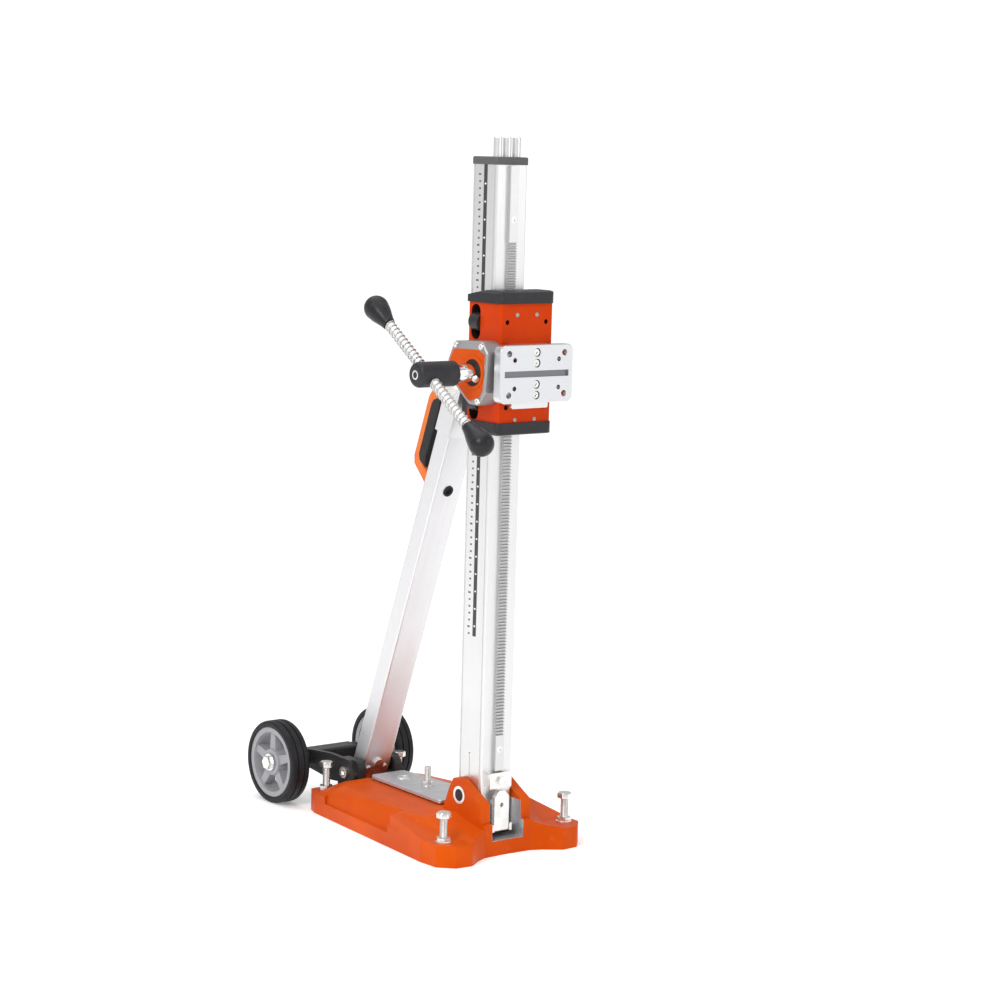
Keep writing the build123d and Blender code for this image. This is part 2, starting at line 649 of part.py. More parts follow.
def brace_clamp():
    clamp_y = (COLUMN_HALF + SLIDE_GAP, CLAMP_REAR)
    clamp = block((-25, 25), clamp_y, CLAMP_Z)
    clamp = fillet(clamp.edges().filter_by(Axis.Y), 4)
    reach = 24
    tongue = prism_x(
        [(CLAMP_REAR - 4, HEAD_Z - reach), (CLAMP_REAR - 4, HEAD_Z + reach),
         (HEAD_Y, HEAD_Z + 13), (HEAD_Y, HEAD_Z - 13)], (-TONGUE_HALF, TONGUE_HALF))
    clamp += tongue + rod_x(13, (-TONGUE_HALF, TONGUE_HALF), HEAD_Y, HEAD_Z)
    clamp -= rod_x(BRACE_PIN_R + RUNNING_FIT, (-20, 20), HEAD_Y, HEAD_Z)
    for height in CLAMP_BOLTS:
        clamp -= rod_y(4, 0, (20, 50), height)
    return clamp


def clamp_bolts():
    """Two T-headed bolts from the column's slot through the clamp, with their hexagon nuts."""
    bolts = []
    head_front = COLUMN_HALF - T_MOUTH_DEEP - T_HEAD_DEEP
    head_x = T_HEAD_HALF - SLIDE_GAP
    head_y = (head_front + SLIDE_GAP, head_front + T_HEAD_DEEP - SLIDE_GAP)
    neck_x = T_MOUTH_HALF - SLIDE_GAP
    for height in CLAMP_BOLTS:
        bolt = block((-head_x, head_x), head_y, (height - 12, height + 12))
        bolt += block((-neck_x, neck_x), (head_y[1], COLUMN_HALF + SLIDE_GAP), (height - 12, height + 12))
        bolt += rod_y(4, 0, (COLUMN_HALF, CLAMP_REAR), height)
        bolt += hex_y(13, 0, (CLAMP_REAR, CLAMP_REAR + 5), height)
        bolts.append(bolt)
    return joined(bolts)


def brace_tube():
    half = BRACE_DEPTH / 2
    room = half - BRACE_WALL
    outer = [(-half, -14), (half, -14), (half, TUBE_END), (-half, TUBE_END)]
    inner = [(-room, -16), (room, -16), (room, TUBE_END + 2), (-room, TUBE_END + 2)]
    tube = on_brace(outer, BRACE_WIDTH / 2)
    tube = fillet(tube.edges().filter_by(lambda edge: abs(edge.length - TUBE_END - 14) < 0.01), 3)
    tube -= on_brace(inner, BRACE_WIDTH / 2 - BRACE_WALL)
    tube -= rod_x(BRACE_PIN_R, (-40, 40), FOOT_Y, FOOT_Z)
    tube -= brace_rod(7, (-half - 2, -room + 1), HOLE_ALONG)
    for x, along, radius in FOOT_FASTENERS:
        tube -= Pos(x, 0, 0) * brace_rod(radius, (-half - 2, -room + 1), along)
    return tube


FOOT_FASTENERS = ((0, FOOT_BOLT_ALONG, 4), (-15, 10, 2.5), (15, 10, 2.5))


def brace_rod(radius, off, along):
    """A cylinder square to the brace's faces, between a pair of offsets."""
    face = BRACE_PLANE.location * Pos(off[0], along, 0) * Rot(0, 90, 0) * Circle(radius)
    return extrude(face, off[1] - off[0])


def brace_head():
    """Casting that sleeves over the tube and ends in a fork."""
    body = on_brace([(-EYE_R, SEAM), (EYE_R, SEAM), (EYE_R, BRACE_LENGTH), (-EYE_R, BRACE_LENGTH)], HEAD_HALF_X)
    body += rod_x(EYE_R, (-HEAD_HALF_X, HEAD_HALF_X), HEAD_Y, HEAD_Z)
    half = BRACE_DEPTH / 2
    socket = on_brace([(-half, SEAM - 1), (half, SEAM - 1), (half, TUBE_END), (-half, TUBE_END)], BRACE_WIDTH / 2)
    long_edges = socket.edges().filter_by(lambda edge: abs(edge.length - TUBE_END + SEAM - 1) < 0.01)
    body -= fillet(long_edges, 3)
    fork_low = BRACE_LENGTH - EYE_R - 9
    fork_top = BRACE_LENGTH + EYE_R + 2
    fork = [(-EYE_R - 2, fork_low), (EYE_R + 2, fork_low), (EYE_R + 2, fork_top), (-EYE_R - 2, fork_top)]
    body -= on_brace(fork, TONGUE_HALF + 0.5)
    return body - rod_x(BRACE_PIN_R, (-40, 40), HEAD_Y, HEAD_Z)


def head_pin():
    pin = rod_x(BRACE_PIN_R, (-HEAD_HALF_X, HEAD_HALF_X), HEAD_Y, HEAD_Z)
    return pin + both(hex_x(18, HEAD_Y, HEAD_Z, (HEAD_HALF_X, HEAD_HALF_X + 5)))


def foot_pin():
    """Its ends ride in the blind slots of the casting's lugs."""
    return rod_x(BRACE_PIN_R, (-LUG_IN - 5.5, LUG_IN + 5.5), FOOT_Y, FOOT_Z)


def foot_insert():
    """Solid block in the tube's lower end that carries the foot pin."""
    room = BRACE_DEPTH / 2 - BRACE_WALL
    insert = on_brace([(-room, -14), (room, -14), (room, 32), (-room, 32)], BRACE_WIDTH / 2 - BRACE_WALL)
    insert -= rod_x(BRACE_PIN_R, (-40, 40), FOOT_Y, FOOT_Z)
    for x, along, radius in FOOT_FASTENERS:
        insert -= Pos(x, 0, 0) * brace_rod(radius, (-room - 1, -room + 4), along)
    return insert


def foot_fasteners():
    half = BRACE_DEPTH / 2
    room = half - BRACE_WALL
    group = []
    for x, along, radius in FOOT_FASTENERS:
        screw = brace_rod(radius, (-half, -room + 4), along)
        screw += brace_rod(2.1 * radius, (-half - radius, -half), along)
        screw = Pos(x, 0, 0) * screw
        group.append(screw)
    return joined(group)


def brace_grommet():
    half = BRACE_DEPTH / 2
    ring = brace_rod(7, (-half - 0.5, -half + BRACE_WALL), HOLE_ALONG)
    ring += brace_rod(8.5, (-half - 1, -half), HOLE_ALONG)
    return ring - brace_rod(5, (-half - 2, -half + 2), HOLE_ALONG)


HANDLE = [
    (15, 478), (56, 498), (61, 510), (61, 606), (57, 618), (17, 650),
    (17, 630), (46, 605), (48, 598), (48, 518), (44, 509), (15, 495),
]
HANDLE_HALF = 17.0
GRIP = [(36, 520), (39, 512), (44, 509), (48, 518), (48, 598), (46, 605), (40, 602), (36, 594)]


def handle_frame():
    frame = on_brace(HANDLE, HANDLE_HALF)
    ends = (frame.faces().sort_by(Axis.X)[0], frame.faces().sort_by(Axis.X)[-1])
    return chamfer(ends[0].edges() + ends[1].edges(), 1.5)


def handle_grip():
    grip = on_brace(GRIP, HANDLE_HALF - 2)
    ends = (grip.faces().sort_by(Axis.X)[0], grip.faces().sort_by(Axis.X)[-1])
    return chamfer(ends[0].edges() + ends[1].edges(), 1.0)


def brace_group():
    save(brace_clamp(), "brace_clamp")
    save(clamp_bolts(), "clamp_t_bolts")
    save(brace_tube(), "brace_tube")
    save(brace_head(), "brace_head")
    save(head_pin() + foot_pin(), "brace_pins")
    save(foot_insert(), "brace_foot_insert")
    save(foot_fasteners(), "brace_foot_fasteners")
    save(brace_grommet(), "brace_grommet")
    save(handle_frame(), "handle_frame")
    save(handle_grip(), "handle_grip")


# ---- carriage ----------------------------------------------------------------------------
CAVITY_FRONT = -COLUMN_HALF - 8.5
WEB_HOLES = ((35.0, 772.0), (34.0, 652.0))
FACE_SCREWS = ((17.7, 782.3), (17.7, 634.1))
FACE_SCREW_R = 3.4
CHAMBER_R = 16.0
CHAMBER_HALF = 14.0
SHAFT_R = 8.0
BEARING_R = 12.0
CAP_SIDE = CARRIAGE_HALF_X + 3
CAP_FRONT = CARRIAGE_FRONT - 3


def roller_window(x, z):
    window = Box(2 * (CARRIAGE_HALF_X - COLUMN_HALF) + 4, ROLLER_WIDTH + 1.2, 50)
    window = fillet(window.edges().filter_by(Axis.X), (ROLLER_WIDTH + 1.2) / 2 - 0.5)
    return Pos(x, ROLLER_Y, z) * window


def carriage_housing():
    housing = block((-CARRIAGE_HALF_X, CARRIAGE_HALF_X), (CARRIAGE_FRONT, CARRIAGE_REAR),
                    (CARRIAGE_BOTTOM, CARRIAGE_TOP))
    front_edges = housing.edges().filter_by(Axis.Z).group_by(Axis.Y)[0]
    housing = fillet(front_edges, 3)
    housing -= block((-SLOT_HALF, SLOT_HALF), (CAVITY_FRONT, CARRIAGE_REAR + 1),
                     (CARRIAGE_BOTTOM - 1, CARRIAGE_TOP + 1))
    housing -= rod_x(CHAMBER_R, (-CHAMBER_HALF, CHAMBER_HALF), FEED_Y, FEED_Z)
    housing -= rod_x(BEARING_R, (-CARRIAGE_HALF_X - 1, 30), FEED_Y, FEED_Z)
    for z in ROLLER_HEIGHTS:
        for x in (-ROLLER_X, ROLLER_X):
            housing -= roller_window(x, z)
            housing -= rod_y(ROLLER_AXLE_R, x, (-32, CARRIAGE_REAR + 1), z)
    for side in (-1, 1):
        for x, z in WEB_HOLES:
            housing -= rod_y(3.6, side * x, (CARRIAGE_FRONT - 1, CARRIAGE_FRONT + 9), z)
        for x, z in FACE_SCREWS:
            housing -= rod_y(2.5, side * x, (CARRIAGE_FRONT - 1, CARRIAGE_FRONT + 9), z)
        for z in (PLATE_Z - 30, PLATE_Z + 30):
            housing -= block((side * 38 - 6, side * 38 + 6), (-62, -40), (z - 8, z + 8))
    for offset in PLATE_SCREWS:
        housing -= rod_y(4, 0, (CARRIAGE_FRONT - 1, CARRIAGE_FRONT + 8), PLATE_Z + offset)
    return housing


def face_screws():
    screws = []
    for x, z in FACE_SCREWS:
        screw = rod_y(2.5, x, (CARRIAGE_FRONT, CARRIAGE_FRONT + 8), z)
        screw += rod_y(FACE_SCREW_R, x, (CARRIAGE_FRONT - 1.6, CARRIAGE_FRONT), z)
        screws.append(both(screw))
    return joined(screws)


def carriage_cap(top):
    """Plastic end cap, thicker in front; the lower one is the upper one turned over."""
    profile = [
        (CAP_FRONT, 0), (CAP_FRONT, CAP_HEIGHT - 2), (CAP_FRONT + 8, CAP_HEIGHT), (-34, CAP_HEIGHT),
        (CARRIAGE_REAR + 1, CAP_HEIGHT - 8), (CARRIAGE_REAR + 1, 0),
    ]
    cap = prism_x(profile, (-CAP_SIDE, CAP_SIDE))
    upright = cap.edges().filter_by(Axis.Z).group_by(Axis.Y)[0]
    cap = fillet(upright, 10)
    crown = mirrored([(0, -1), (CAP_SIDE, -1), (CAP_SIDE, CAP_HEIGHT - 4), (CAP_SIDE - 5, CAP_HEIGHT)])
    cap = cap & prism_y(crown, (CAP_FRONT - 1, CARRIAGE_REAR + 2))
    cap -= block((-SLOT_HALF, SLOT_HALF), (CAVITY_FRONT, CARRIAGE_REAR + 2), (-1, CAP_HEIGHT + 1))
    if top:
        return Pos(0, 0, CARRIAGE_TOP) * cap
    return Pos(0, 0, CARRIAGE_BOTTOM) * mirror(cap, about=Plane.XY)


def guide_pads():
    """Slide pads between the housing and the column's front face, beside the rack."""
    pads = []
    for z in (644.0, 766.0):
        pad = block((10, 26), (CAVITY_FRONT, -COLUMN_HALF - SLIDE_GAP), (z, z + 20))
        pads.append(both(pad))
    return joined(pads)


def roller(x, z):
    wheel = rod_y(ROLLER_R, x, (ROLLER_Y - ROLLER_WIDTH / 2, ROLLER_Y + ROLLER_WIDTH / 2), z)
    wheel = chamfer(wheel.edges(), 1)
    return wheel - rod_y(ROLLER_AXLE_R + RUNNING_FIT, x, (-40, 20), z)


def roller_axles():
    axles = []
    for z in ROLLER_HEIGHTS:
        axle = rod_y(ROLLER_AXLE_R, ROLLER_X, (-32, CARRIAGE_REAR), z)
        axles.append(both(axle))
    return joined(axles)


ADAPTER_HALF = 33.0
PLATE_SCREWS = (-30.0, -15.0, 15.0, 30.0)
OUTER_HOLES = (100.0, 58.0)
INNER_HOLES = (80.0, 40.0)
GROOVE_HALF = 4.5
GROOVE_DEEP = 4.0


def plate_adapter():
    adapter = block((-ADAPTER_HALF, ADAPTER_HALF), (ADAPTER_FRONT, CARRIAGE_FRONT),
                    (PLATE_Z - 50, PLATE_Z + 41))
    adapter = fillet(adapter.edges().filter_by(Axis.Y), 3)
    for offset in PLATE_SCREWS:
        adapter -= rod_y(4, 0, (ADAPTER_FRONT - 1, CARRIAGE_FRONT + 1), PLATE_Z + offset)
    return adapter


def motor_plate():
    half_x = PLATE_WIDTH / 2
    half_z = PLATE_HEIGHT / 2
    plate = block((-half_x, half_x), (PLATE_FRONT, ADAPTER_FRONT), (PLATE_Z - half_z, PLATE_Z + half_z))
    plate = fillet(plate.edges().filter_by(Axis.Y), 10)
    plate = chamfer(plate.faces().sort_by(Axis.Y)[0].edges(), 1)
    plate -= block((-58, 58), (PLATE_FRONT - 1, PLATE_FRONT + GROOVE_DEEP),
                   (PLATE_Z - GROOVE_HALF, PLATE_Z + GROOVE_HALF))
    for (width, height), radius in ((OUTER_HOLES, 4.5), (INNER_HOLES, 3.4)):
        for x in (-width / 2, width / 2):
            for z in (PLATE_Z - height / 2, PLATE_Z + height / 2):
                plate -= rod_y(radius, x, (PLATE_FRONT - 1, ADAPTER_FRONT + 1), z)
    for offset in PLATE_SCREWS:
        plate -= rod_y(6.2, 0, (PLATE_FRONT - 1, PLATE_FRONT + 8), PLATE_Z + offset)
        plate -= rod_y(4, 0, (PLATE_FRONT, ADAPTER_FRONT + 1), PLATE_Z + offset)
    return plate


def plate_bolts():
    """Four socket screws, one above the other, sunk in the motor plate."""
    bolts = []
    for offset in PLATE_SCREWS:
        z = PLATE_Z + offset
        bolt = rod_y(6.2, 0, (PLATE_FRONT + 0.6, PLATE_FRONT + 8), z)
        bolt -= hex_y(6, 0, (PLATE_FRONT, PLATE_FRONT + 5), z)
        bolt += rod_y(4, 0, (PLATE_FRONT + 8, CARRIAGE_FRONT + 8), z)
        bolts.append(bolt)
    return joined(bolts)


GEARBOX = [(15, 716), (1, 743), (-62, 746), (-75, 730), (-71, 674), (-57, 655), (-34, 656), (13, 690)]
PANEL = [(3, 715), (-9, 732), (-57, 733), (-66, 724), (-63, 680), (-52, 668), (-36, 668), (1, 695)]
GEARBOX_SCREWS = ((-5.0, 738.0), (-62.5, 738.5), (-57.0, 661.5), (8.0, 699.0))
PANEL_DEEP = 3.0


def gearbox_casting():
    casting = prism_x(GEARBOX, (GEARBOX_OUT, -CARRIAGE_HALF_X))
    casting = fillet(casting.edges().filter_by(Axis.X), 7)
    casting = chamfer(casting.faces().sort_by(Axis.X)[0].edges(), 2)
    recess = prism_x(PANEL, (GEARBOX_OUT - 1, GEARBOX_OUT + PANEL_DEEP))
    casting -= fillet(recess.edges().filter_by(Axis.X), 5)
    casting -= rod_x(24, (GEARBOX_OUT, -CARRIAGE_HALF_X - 4), FEED_Y, FEED_Z)
    casting -= rod_x(BEARING_R, (GEARBOX_OUT, -CARRIAGE_HALF_X + 1), FEED_Y, FEED_Z)
    roller_y = (ROLLER_Y - ROLLER_WIDTH / 2 - 1, ROLLER_Y + ROLLER_WIDTH / 2 + 1)
    for z in ROLLER_HEIGHTS:
        casting -= rod_y(ROLLER_R + 1, -ROLLER_X, roller_y, z)
    for y, z in GEARBOX_SCREWS:
        casting -= rod_x(2.5, (GEARBOX_OUT - 1, GEARBOX_OUT + 16), y, z)
    return casting


def gearbox_panel():
    panel = prism_x(PANEL, (GEARBOX_OUT, GEARBOX_OUT + PANEL_DEEP))
    panel = fillet(panel.edges().filter_by(Axis.X), 5)
    return panel - rod_x(20, (GEARBOX_OUT - 1, GEARBOX_OUT + 5), FEED_Y, FEED_Z)


def gearbox_screws():
    screws = []
    for y, z in GEARBOX_SCREWS:
        screw = rod_x(2.5, (GEARBOX_OUT, GEARBOX_OUT + 15), y, z)
        screw += rod_x(4.4, (GEARBOX_OUT - 3, GEARBOX_OUT), y, z)
        screw -= hex_x(4, y, z, (GEARBOX_OUT - 4, GEARBOX_OUT - 1))
        screws.append(screw)
    return joined(screws)


def shaft_seal():
    seal = rod_x(20, (GEARBOX_OUT - 1, GEARBOX_OUT + PANEL_DEEP), FEED_Y, FEED_Z)
    seal += rod_x(24, (GEARBOX_OUT + PANEL_DEEP, GEARBOX_OUT + PANEL_DEEP + 3), FEED_Y, FEED_Z)
    return seal - rod_x(SLEEVE_R + 0.3, (GEARBOX_OUT - 2, GEARBOX_OUT + 9), FEED_Y, FEED_Z)


BEARINGS = ((-46.0, -36.0), (19.0, 29.0))


def feed_bearings():
    pair = []
    for x in BEARINGS:
        ring = rod_x(BEARING_R, x, FEED_Y, FEED_Z)
        ring -= rod_x(SHAFT_R + RUNNING_FIT, (x[0] - 1, x[1] + 1), FEED_Y, FEED_Z)
        pair.append(ring)
    return joined(pair)


def carriage_group():
    save(carriage_housing(), "carriage_housing")
    save(face_screws() + plate_bolts() + gearbox_screws(), "carriage_screws")
    save(carriage_cap(True) + carriage_cap(False), "carriage_caps")
    save(guide_pads(), "guide_pads")
    save(roller_axles(), "roller_axles")
    heights = {"lower": ROLLER_HEIGHTS[0], "upper": ROLLER_HEIGHTS[1]}
    for level, z in heights.items():
        save(roller(-ROLLER_X, z), f"roller_{level}_left")
        save(roller(ROLLER_X, z), f"roller_{level}_right")
    save(plate_adapter(), "plate_adapter")
    save(motor_plate(), "motor_plate")
    save(gearbox_casting(), "gearbox_casting")
    save(gearbox_panel(), "gearbox_panel")
    save(shaft_seal(), "shaft_seal")
    save(feed_bearings(), "feed_bearings")


# ---- crank -------------------------------------------------------------------------------
SLEEVE_R = 13.0
SLEEVE_X = (HUB_INNER_X, GEARBOX_OUT + 13)
BAR_R = 5.0
SHAFT_X = (CRANK_X + 9, 30.0)
SPRING_R = 8.4
SPRING_TURNS = 19
NECK_AT = 111.0
SPRING_PITCH = (NECK_AT - HUB_R - 1) / SPRING_TURNS
ARM_TURN = -(90 - CRANK_TILT)


def pinion_shaft():
    """Shaft with the pinion's teeth cut on it; a tooth points at the rack at rest."""
    half_tooth = TOOTH_SLACK * PITCH / 4
    tip_r = PITCH_R + 0.85 * ADDENDUM
    root_r = PITCH_R - DEDENDUM
    tip = (half_tooth - 0.85 * ADDENDUM * tan(radians(20))) / tip_r
    root = (half_tooth + 0.7 * DEDENDUM * tan(radians(20))) / root_r
    points = []
    for tooth in range(PINION_TEETH):
        turn = 2 * pi * tooth / PINION_TEETH
        for radius, angle in ((root_r, -root), (tip_r, -tip), (tip_r, tip), (root_r, root)):
            points.append((FEED_Y + radius * cos(turn + angle), FEED_Z + radius * sin(turn + angle)))
    wheel = prism_x(points, (-RACK_HALF_X - 1, RACK_HALF_X + 1))
    return wheel + rod_x(SHAFT_R, SHAFT_X, FEED_Y, FEED_Z)


def crank_sleeve():
    sleeve = rod_x(SLEEVE_R, SLEEVE_X, FEED_Y, FEED_Z)
    return sleeve - rod_x(SHAFT_R, (SLEEVE_X[0] - 1, SLEEVE_X[1] + 1), FEED_Y, FEED_Z)


def crank_arm(shape, arm):
    """Stands a shape made along +Z on the crank's centre; arm 0 points up, arm 1 down."""
    return Pos(CRANK_X, FEED_Y, FEED_Z) * Rot(ARM_TURN + 180 * arm, 0, 0) * shape


def crank_hub():
    hub = rod_x(HUB_R, (HUB_OUTER_X, HUB_INNER_X), FEED_Y, FEED_Z)
    hub = fillet(hub.faces().sort_by(Axis.X)[0].edges(), 7)
    hub = chamfer(hub.faces().sort_by(Axis.X)[-1].edges(), 1.5)
    hub -= rod_x(SHAFT_R, (SHAFT_X[0], HUB_INNER_X + 1), FEED_Y, FEED_Z)
    return hub - crank_arm(Cylinder(BAR_R, 60), 0)


def crank_bar():
    return crank_arm(Cylinder(BAR_R, 2 * (KNOB_REACH - 8)), 0)


def spring_sleeve(arm):
    """Close-wound grip spring, drawn as its ridges."""
    points = [(BAR_R, HUB_R + 1)]
    for turn in range(SPRING_TURNS):
        start = HUB_R + 1 + turn * SPRING_PITCH
        points.append((SPRING_R - 1.6, start + 0.01))
        points.append((SPRING_R, start + 0.3 * SPRING_PITCH))
        points.append((SPRING_R, start + 0.7 * SPRING_PITCH))
    points.append((SPRING_R - 1.6, HUB_R + 1 + SPRING_TURNS * SPRING_PITCH))
    points.append((BAR_R, HUB_R + 1 + SPRING_TURNS * SPRING_PITCH))
    ridges = revolve(Plane.XZ * outline(points), Axis.Z)
    return crank_arm(ridges, arm)


def knob(arm):
    """Pear-shaped knob on the bar's end."""
    ball = Pos(0, 0, KNOB_REACH) * Sphere(KNOB_R)
    flare = KNOB_REACH - 8
    neck = Pos(0, 0, (NECK_AT + flare) / 2) * Cone(KNOB_R / 2, 0.89 * KNOB_R, flare - NECK_AT)
    shape = ball + neck
    bore = Pos(0, 0, (KNOB_REACH - 8) / 2) * Cylinder(BAR_R, KNOB_REACH - 8)
    return crank_arm(shape - bore, arm)


def crank_group():
    save(pinion_shaft(), "feed_pinion_shaft")
    save(crank_sleeve(), "crank_sleeve")
    save(crank_hub(), "crank_hub")
    save(crank_bar(), "crank_bar")
    save(spring_sleeve(0) + spring_sleeve(1), "crank_springs")
    save(knob(0) + knob(1), "crank_knobs")


if __name__ == "__main__":
    os.makedirs("parts", exist_ok=True)
    base_group()
    levelling_group()
    wheel_group()
    column_group()
    pointer_group()
    brace_group()
    carriage_group()
    crank_group()
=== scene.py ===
"""Looks of the tilting core drill rig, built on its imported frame. Metres, +Z up, front towards -Y."""

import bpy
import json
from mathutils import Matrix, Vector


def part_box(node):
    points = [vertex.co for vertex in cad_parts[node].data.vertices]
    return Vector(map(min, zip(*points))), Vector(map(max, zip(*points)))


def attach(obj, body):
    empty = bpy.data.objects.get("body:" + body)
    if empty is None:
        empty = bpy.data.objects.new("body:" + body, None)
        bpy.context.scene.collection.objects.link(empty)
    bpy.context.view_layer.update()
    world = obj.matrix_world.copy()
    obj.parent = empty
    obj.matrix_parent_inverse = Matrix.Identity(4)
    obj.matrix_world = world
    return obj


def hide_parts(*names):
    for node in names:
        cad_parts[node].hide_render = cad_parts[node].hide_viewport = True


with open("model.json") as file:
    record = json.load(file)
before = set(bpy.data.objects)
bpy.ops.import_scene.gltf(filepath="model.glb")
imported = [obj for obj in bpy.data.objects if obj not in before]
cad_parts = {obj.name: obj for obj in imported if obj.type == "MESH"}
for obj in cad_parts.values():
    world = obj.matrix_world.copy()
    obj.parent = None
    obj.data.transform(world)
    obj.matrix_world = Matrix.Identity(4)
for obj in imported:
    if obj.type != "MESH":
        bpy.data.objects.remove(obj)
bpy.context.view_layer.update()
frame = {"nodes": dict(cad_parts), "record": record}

import json
from math import asin, atan2, cos, hypot, pi, radians, sin

import bmesh
import bpy
from mathutils import Matrix, Vector

NODES = frame["nodes"]
MM = 0.001

# The milled slot in the casting that the column stands in; its walls are bare metal up to MILLED_TOP.
SLOT_HALF = 28.5 * MM
SLOT_REAR = 32.2 * MM
SLOT_FLOOR = 22.0 * MM
MILLED_TOP = 75.0 * MM
MASK_SLACK = 0.1 * MM       # so that a mask takes in the faces that it ends on

# The carriage housing's coat is orange only in this skin; further in it carries painted shade, nearly
# black.
HOUSING_LOW, HOUSING_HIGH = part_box("carriage_housing")
SKIN_X = HOUSING_HIGH[0] - 1.3 * MM
SKIN_FRONT = HOUSING_LOW[1] + 1.3 * MM
SKIN_REAR = HOUSING_HIGH[1] - 0.8 * MM


# ---- materials: tools ----------------------------------------------------------------------
class Signal:
    """An output in a material's node tree. Arithmetic on it adds Math nodes."""

    def __init__(self, finish, socket):
        self.finish = finish
        self.socket = socket

    def maths(self, operation, first, second=0.0):
        settings = {"operation": operation}
        made = self.finish.node("ShaderNodeMath", settings, {0: first, 1: second})
        return Signal(self.finish, made.outputs[0])

    def __add__(self, other):
        return self.maths("ADD", self, other)

    def __radd__(self, other):
        return self.maths("ADD", other, self)

    def __sub__(self, other):
        return self.maths("SUBTRACT", self, other)

    def __rsub__(self, other):
        return self.maths("SUBTRACT", other, self)

    def __mul__(self, other):
        return self.maths("MULTIPLY", self, other)

    def __rmul__(self, other):
        return self.maths("MULTIPLY", other, self)

    def __gt__(self, other):
        return self.maths("GREATER_THAN", self, other)

    def __lt__(self, other):
        return self.maths("LESS_THAN", self, other)


class Finish:
    """One procedural material: a shader and the nodes that vary it over the surface."""

    def __init__(self, name, metallic=0.0, roughness=0.5, **constants):
        self.material = bpy.data.materials.new(name)
        self.material.use_nodes = True
        self.tree = self.material.node_tree
        self.shader = self.tree.nodes["Principled BSDF"]
        self.shader.inputs["Metallic"].default_value = metallic
        self.shader.inputs["Roughness"].default_value = roughness
        for key, value in constants.items():
            self.shader.inputs[key.replace("_", " ").title().replace("Ior", "IOR")].default_value = value
        place = self.node("ShaderNodeTexCoord", {}, {})
        self.place = Signal(self, place.outputs["Object"])

    def node(self, kind, settings, sockets):
        """Adds a node of a kind: its settings first, then the values or links of its sockets."""
        made = self.tree.nodes.new(kind)
        for key, value in settings.items():
            if key == "stops":
                self.set_stops(made.color_ramp, value)
            else:
                setattr(made, key, value)
        for key, value in sockets.items():
            if isinstance(value, Signal):
                self.tree.links.new(value.socket, made.inputs[key])
            else:
                made.inputs[key].default_value = value
        return made

    @staticmethod
    def set_stops(ramp, stops):
        while len(ramp.elements) < len(stops):
            ramp.elements.new(1.0)
        for element, (position, grey) in zip(ramp.elements, stops):
            element.position = position
            element.color = (grey, grey, grey, 1.0)

    def stretched(self, scale):
        made = self.node("ShaderNodeMapping", {}, {"Vector": self.place, "Scale": scale})
        return Signal(self, made.outputs[0])

    def noise(self, scale, detail=3.0, stretch=(1.0, 1.0, 1.0), roughness=0.5):
        """Noise with a given number of features per metre, stretched along the axes."""
        sockets = {"Vector": self.stretched(stretch), "Scale": scale, "Detail": detail}
        sockets["Roughness"] = roughness
        return Signal(self, self.node("ShaderNodeTexNoise", {}, sockets).outputs["Fac"])

    def grains(self, scale):
        made = self.node("ShaderNodeTexVoronoi", {}, {"Vector": self.place, "Scale": scale})
        return Signal(self, made.outputs["Distance"])

    def ramp(self, signal, stops):
        made = self.node("ShaderNodeValToRGB", {"stops": stops}, {0: signal})
        return Signal(self, made.outputs["Color"])

    def axes(self):
        made = self.node("ShaderNodeSeparateXYZ", {}, {0: self.place})
        return [Signal(self, output) for output in made.outputs]

    def blend(self, factor, first, second):
        made = self.node("ShaderNodeMix", {"data_type": "RGBA"}, {0: factor, 6: first, 7: second})
        return Signal(self, made.outputs[2])

    def feed(self, socket, value):
        self.tree.links.new(value.socket, self.shader.inputs[socket])

    def bump(self, height, distance, strength=1.0):
        """Raises the surface by height times distance, in metres."""
        sockets = {"Height": height, "Distance": distance, "Strength": strength}
        made = self.node("ShaderNodeBump", {}, sockets)
        self.feed("Normal", Signal(self, made.outputs[0]))


def shade(grey):
    return (grey, grey, grey, 1.0)


# ---- materials: finishes -------------------------------------------------------------------
SHEEN = (1.0, 0.42, 0.16, 1.0)       # the sheen of the powder coat takes its colour
SCUFF = (0.80, 0.45, 0.30, 1.0)
# Grey of the painted shade inside the carriage housing, nearly black
INSIDE_SHADE_GREY = 0.012
FRESH_MILLED = (0.80, 0.83, 0.86, 1.0)
DULL_MILLED = (0.62, 0.65, 0.69, 1.0)
ORANGE = ((0.67, 0.088, 0.003, 1), (0.57, 0.066, 0.002, 1))            # bright and deep tones
HOUSING_ORANGE = ((0.60, 0.046, 0.002, 1), (0.52, 0.036, 0.002, 1))


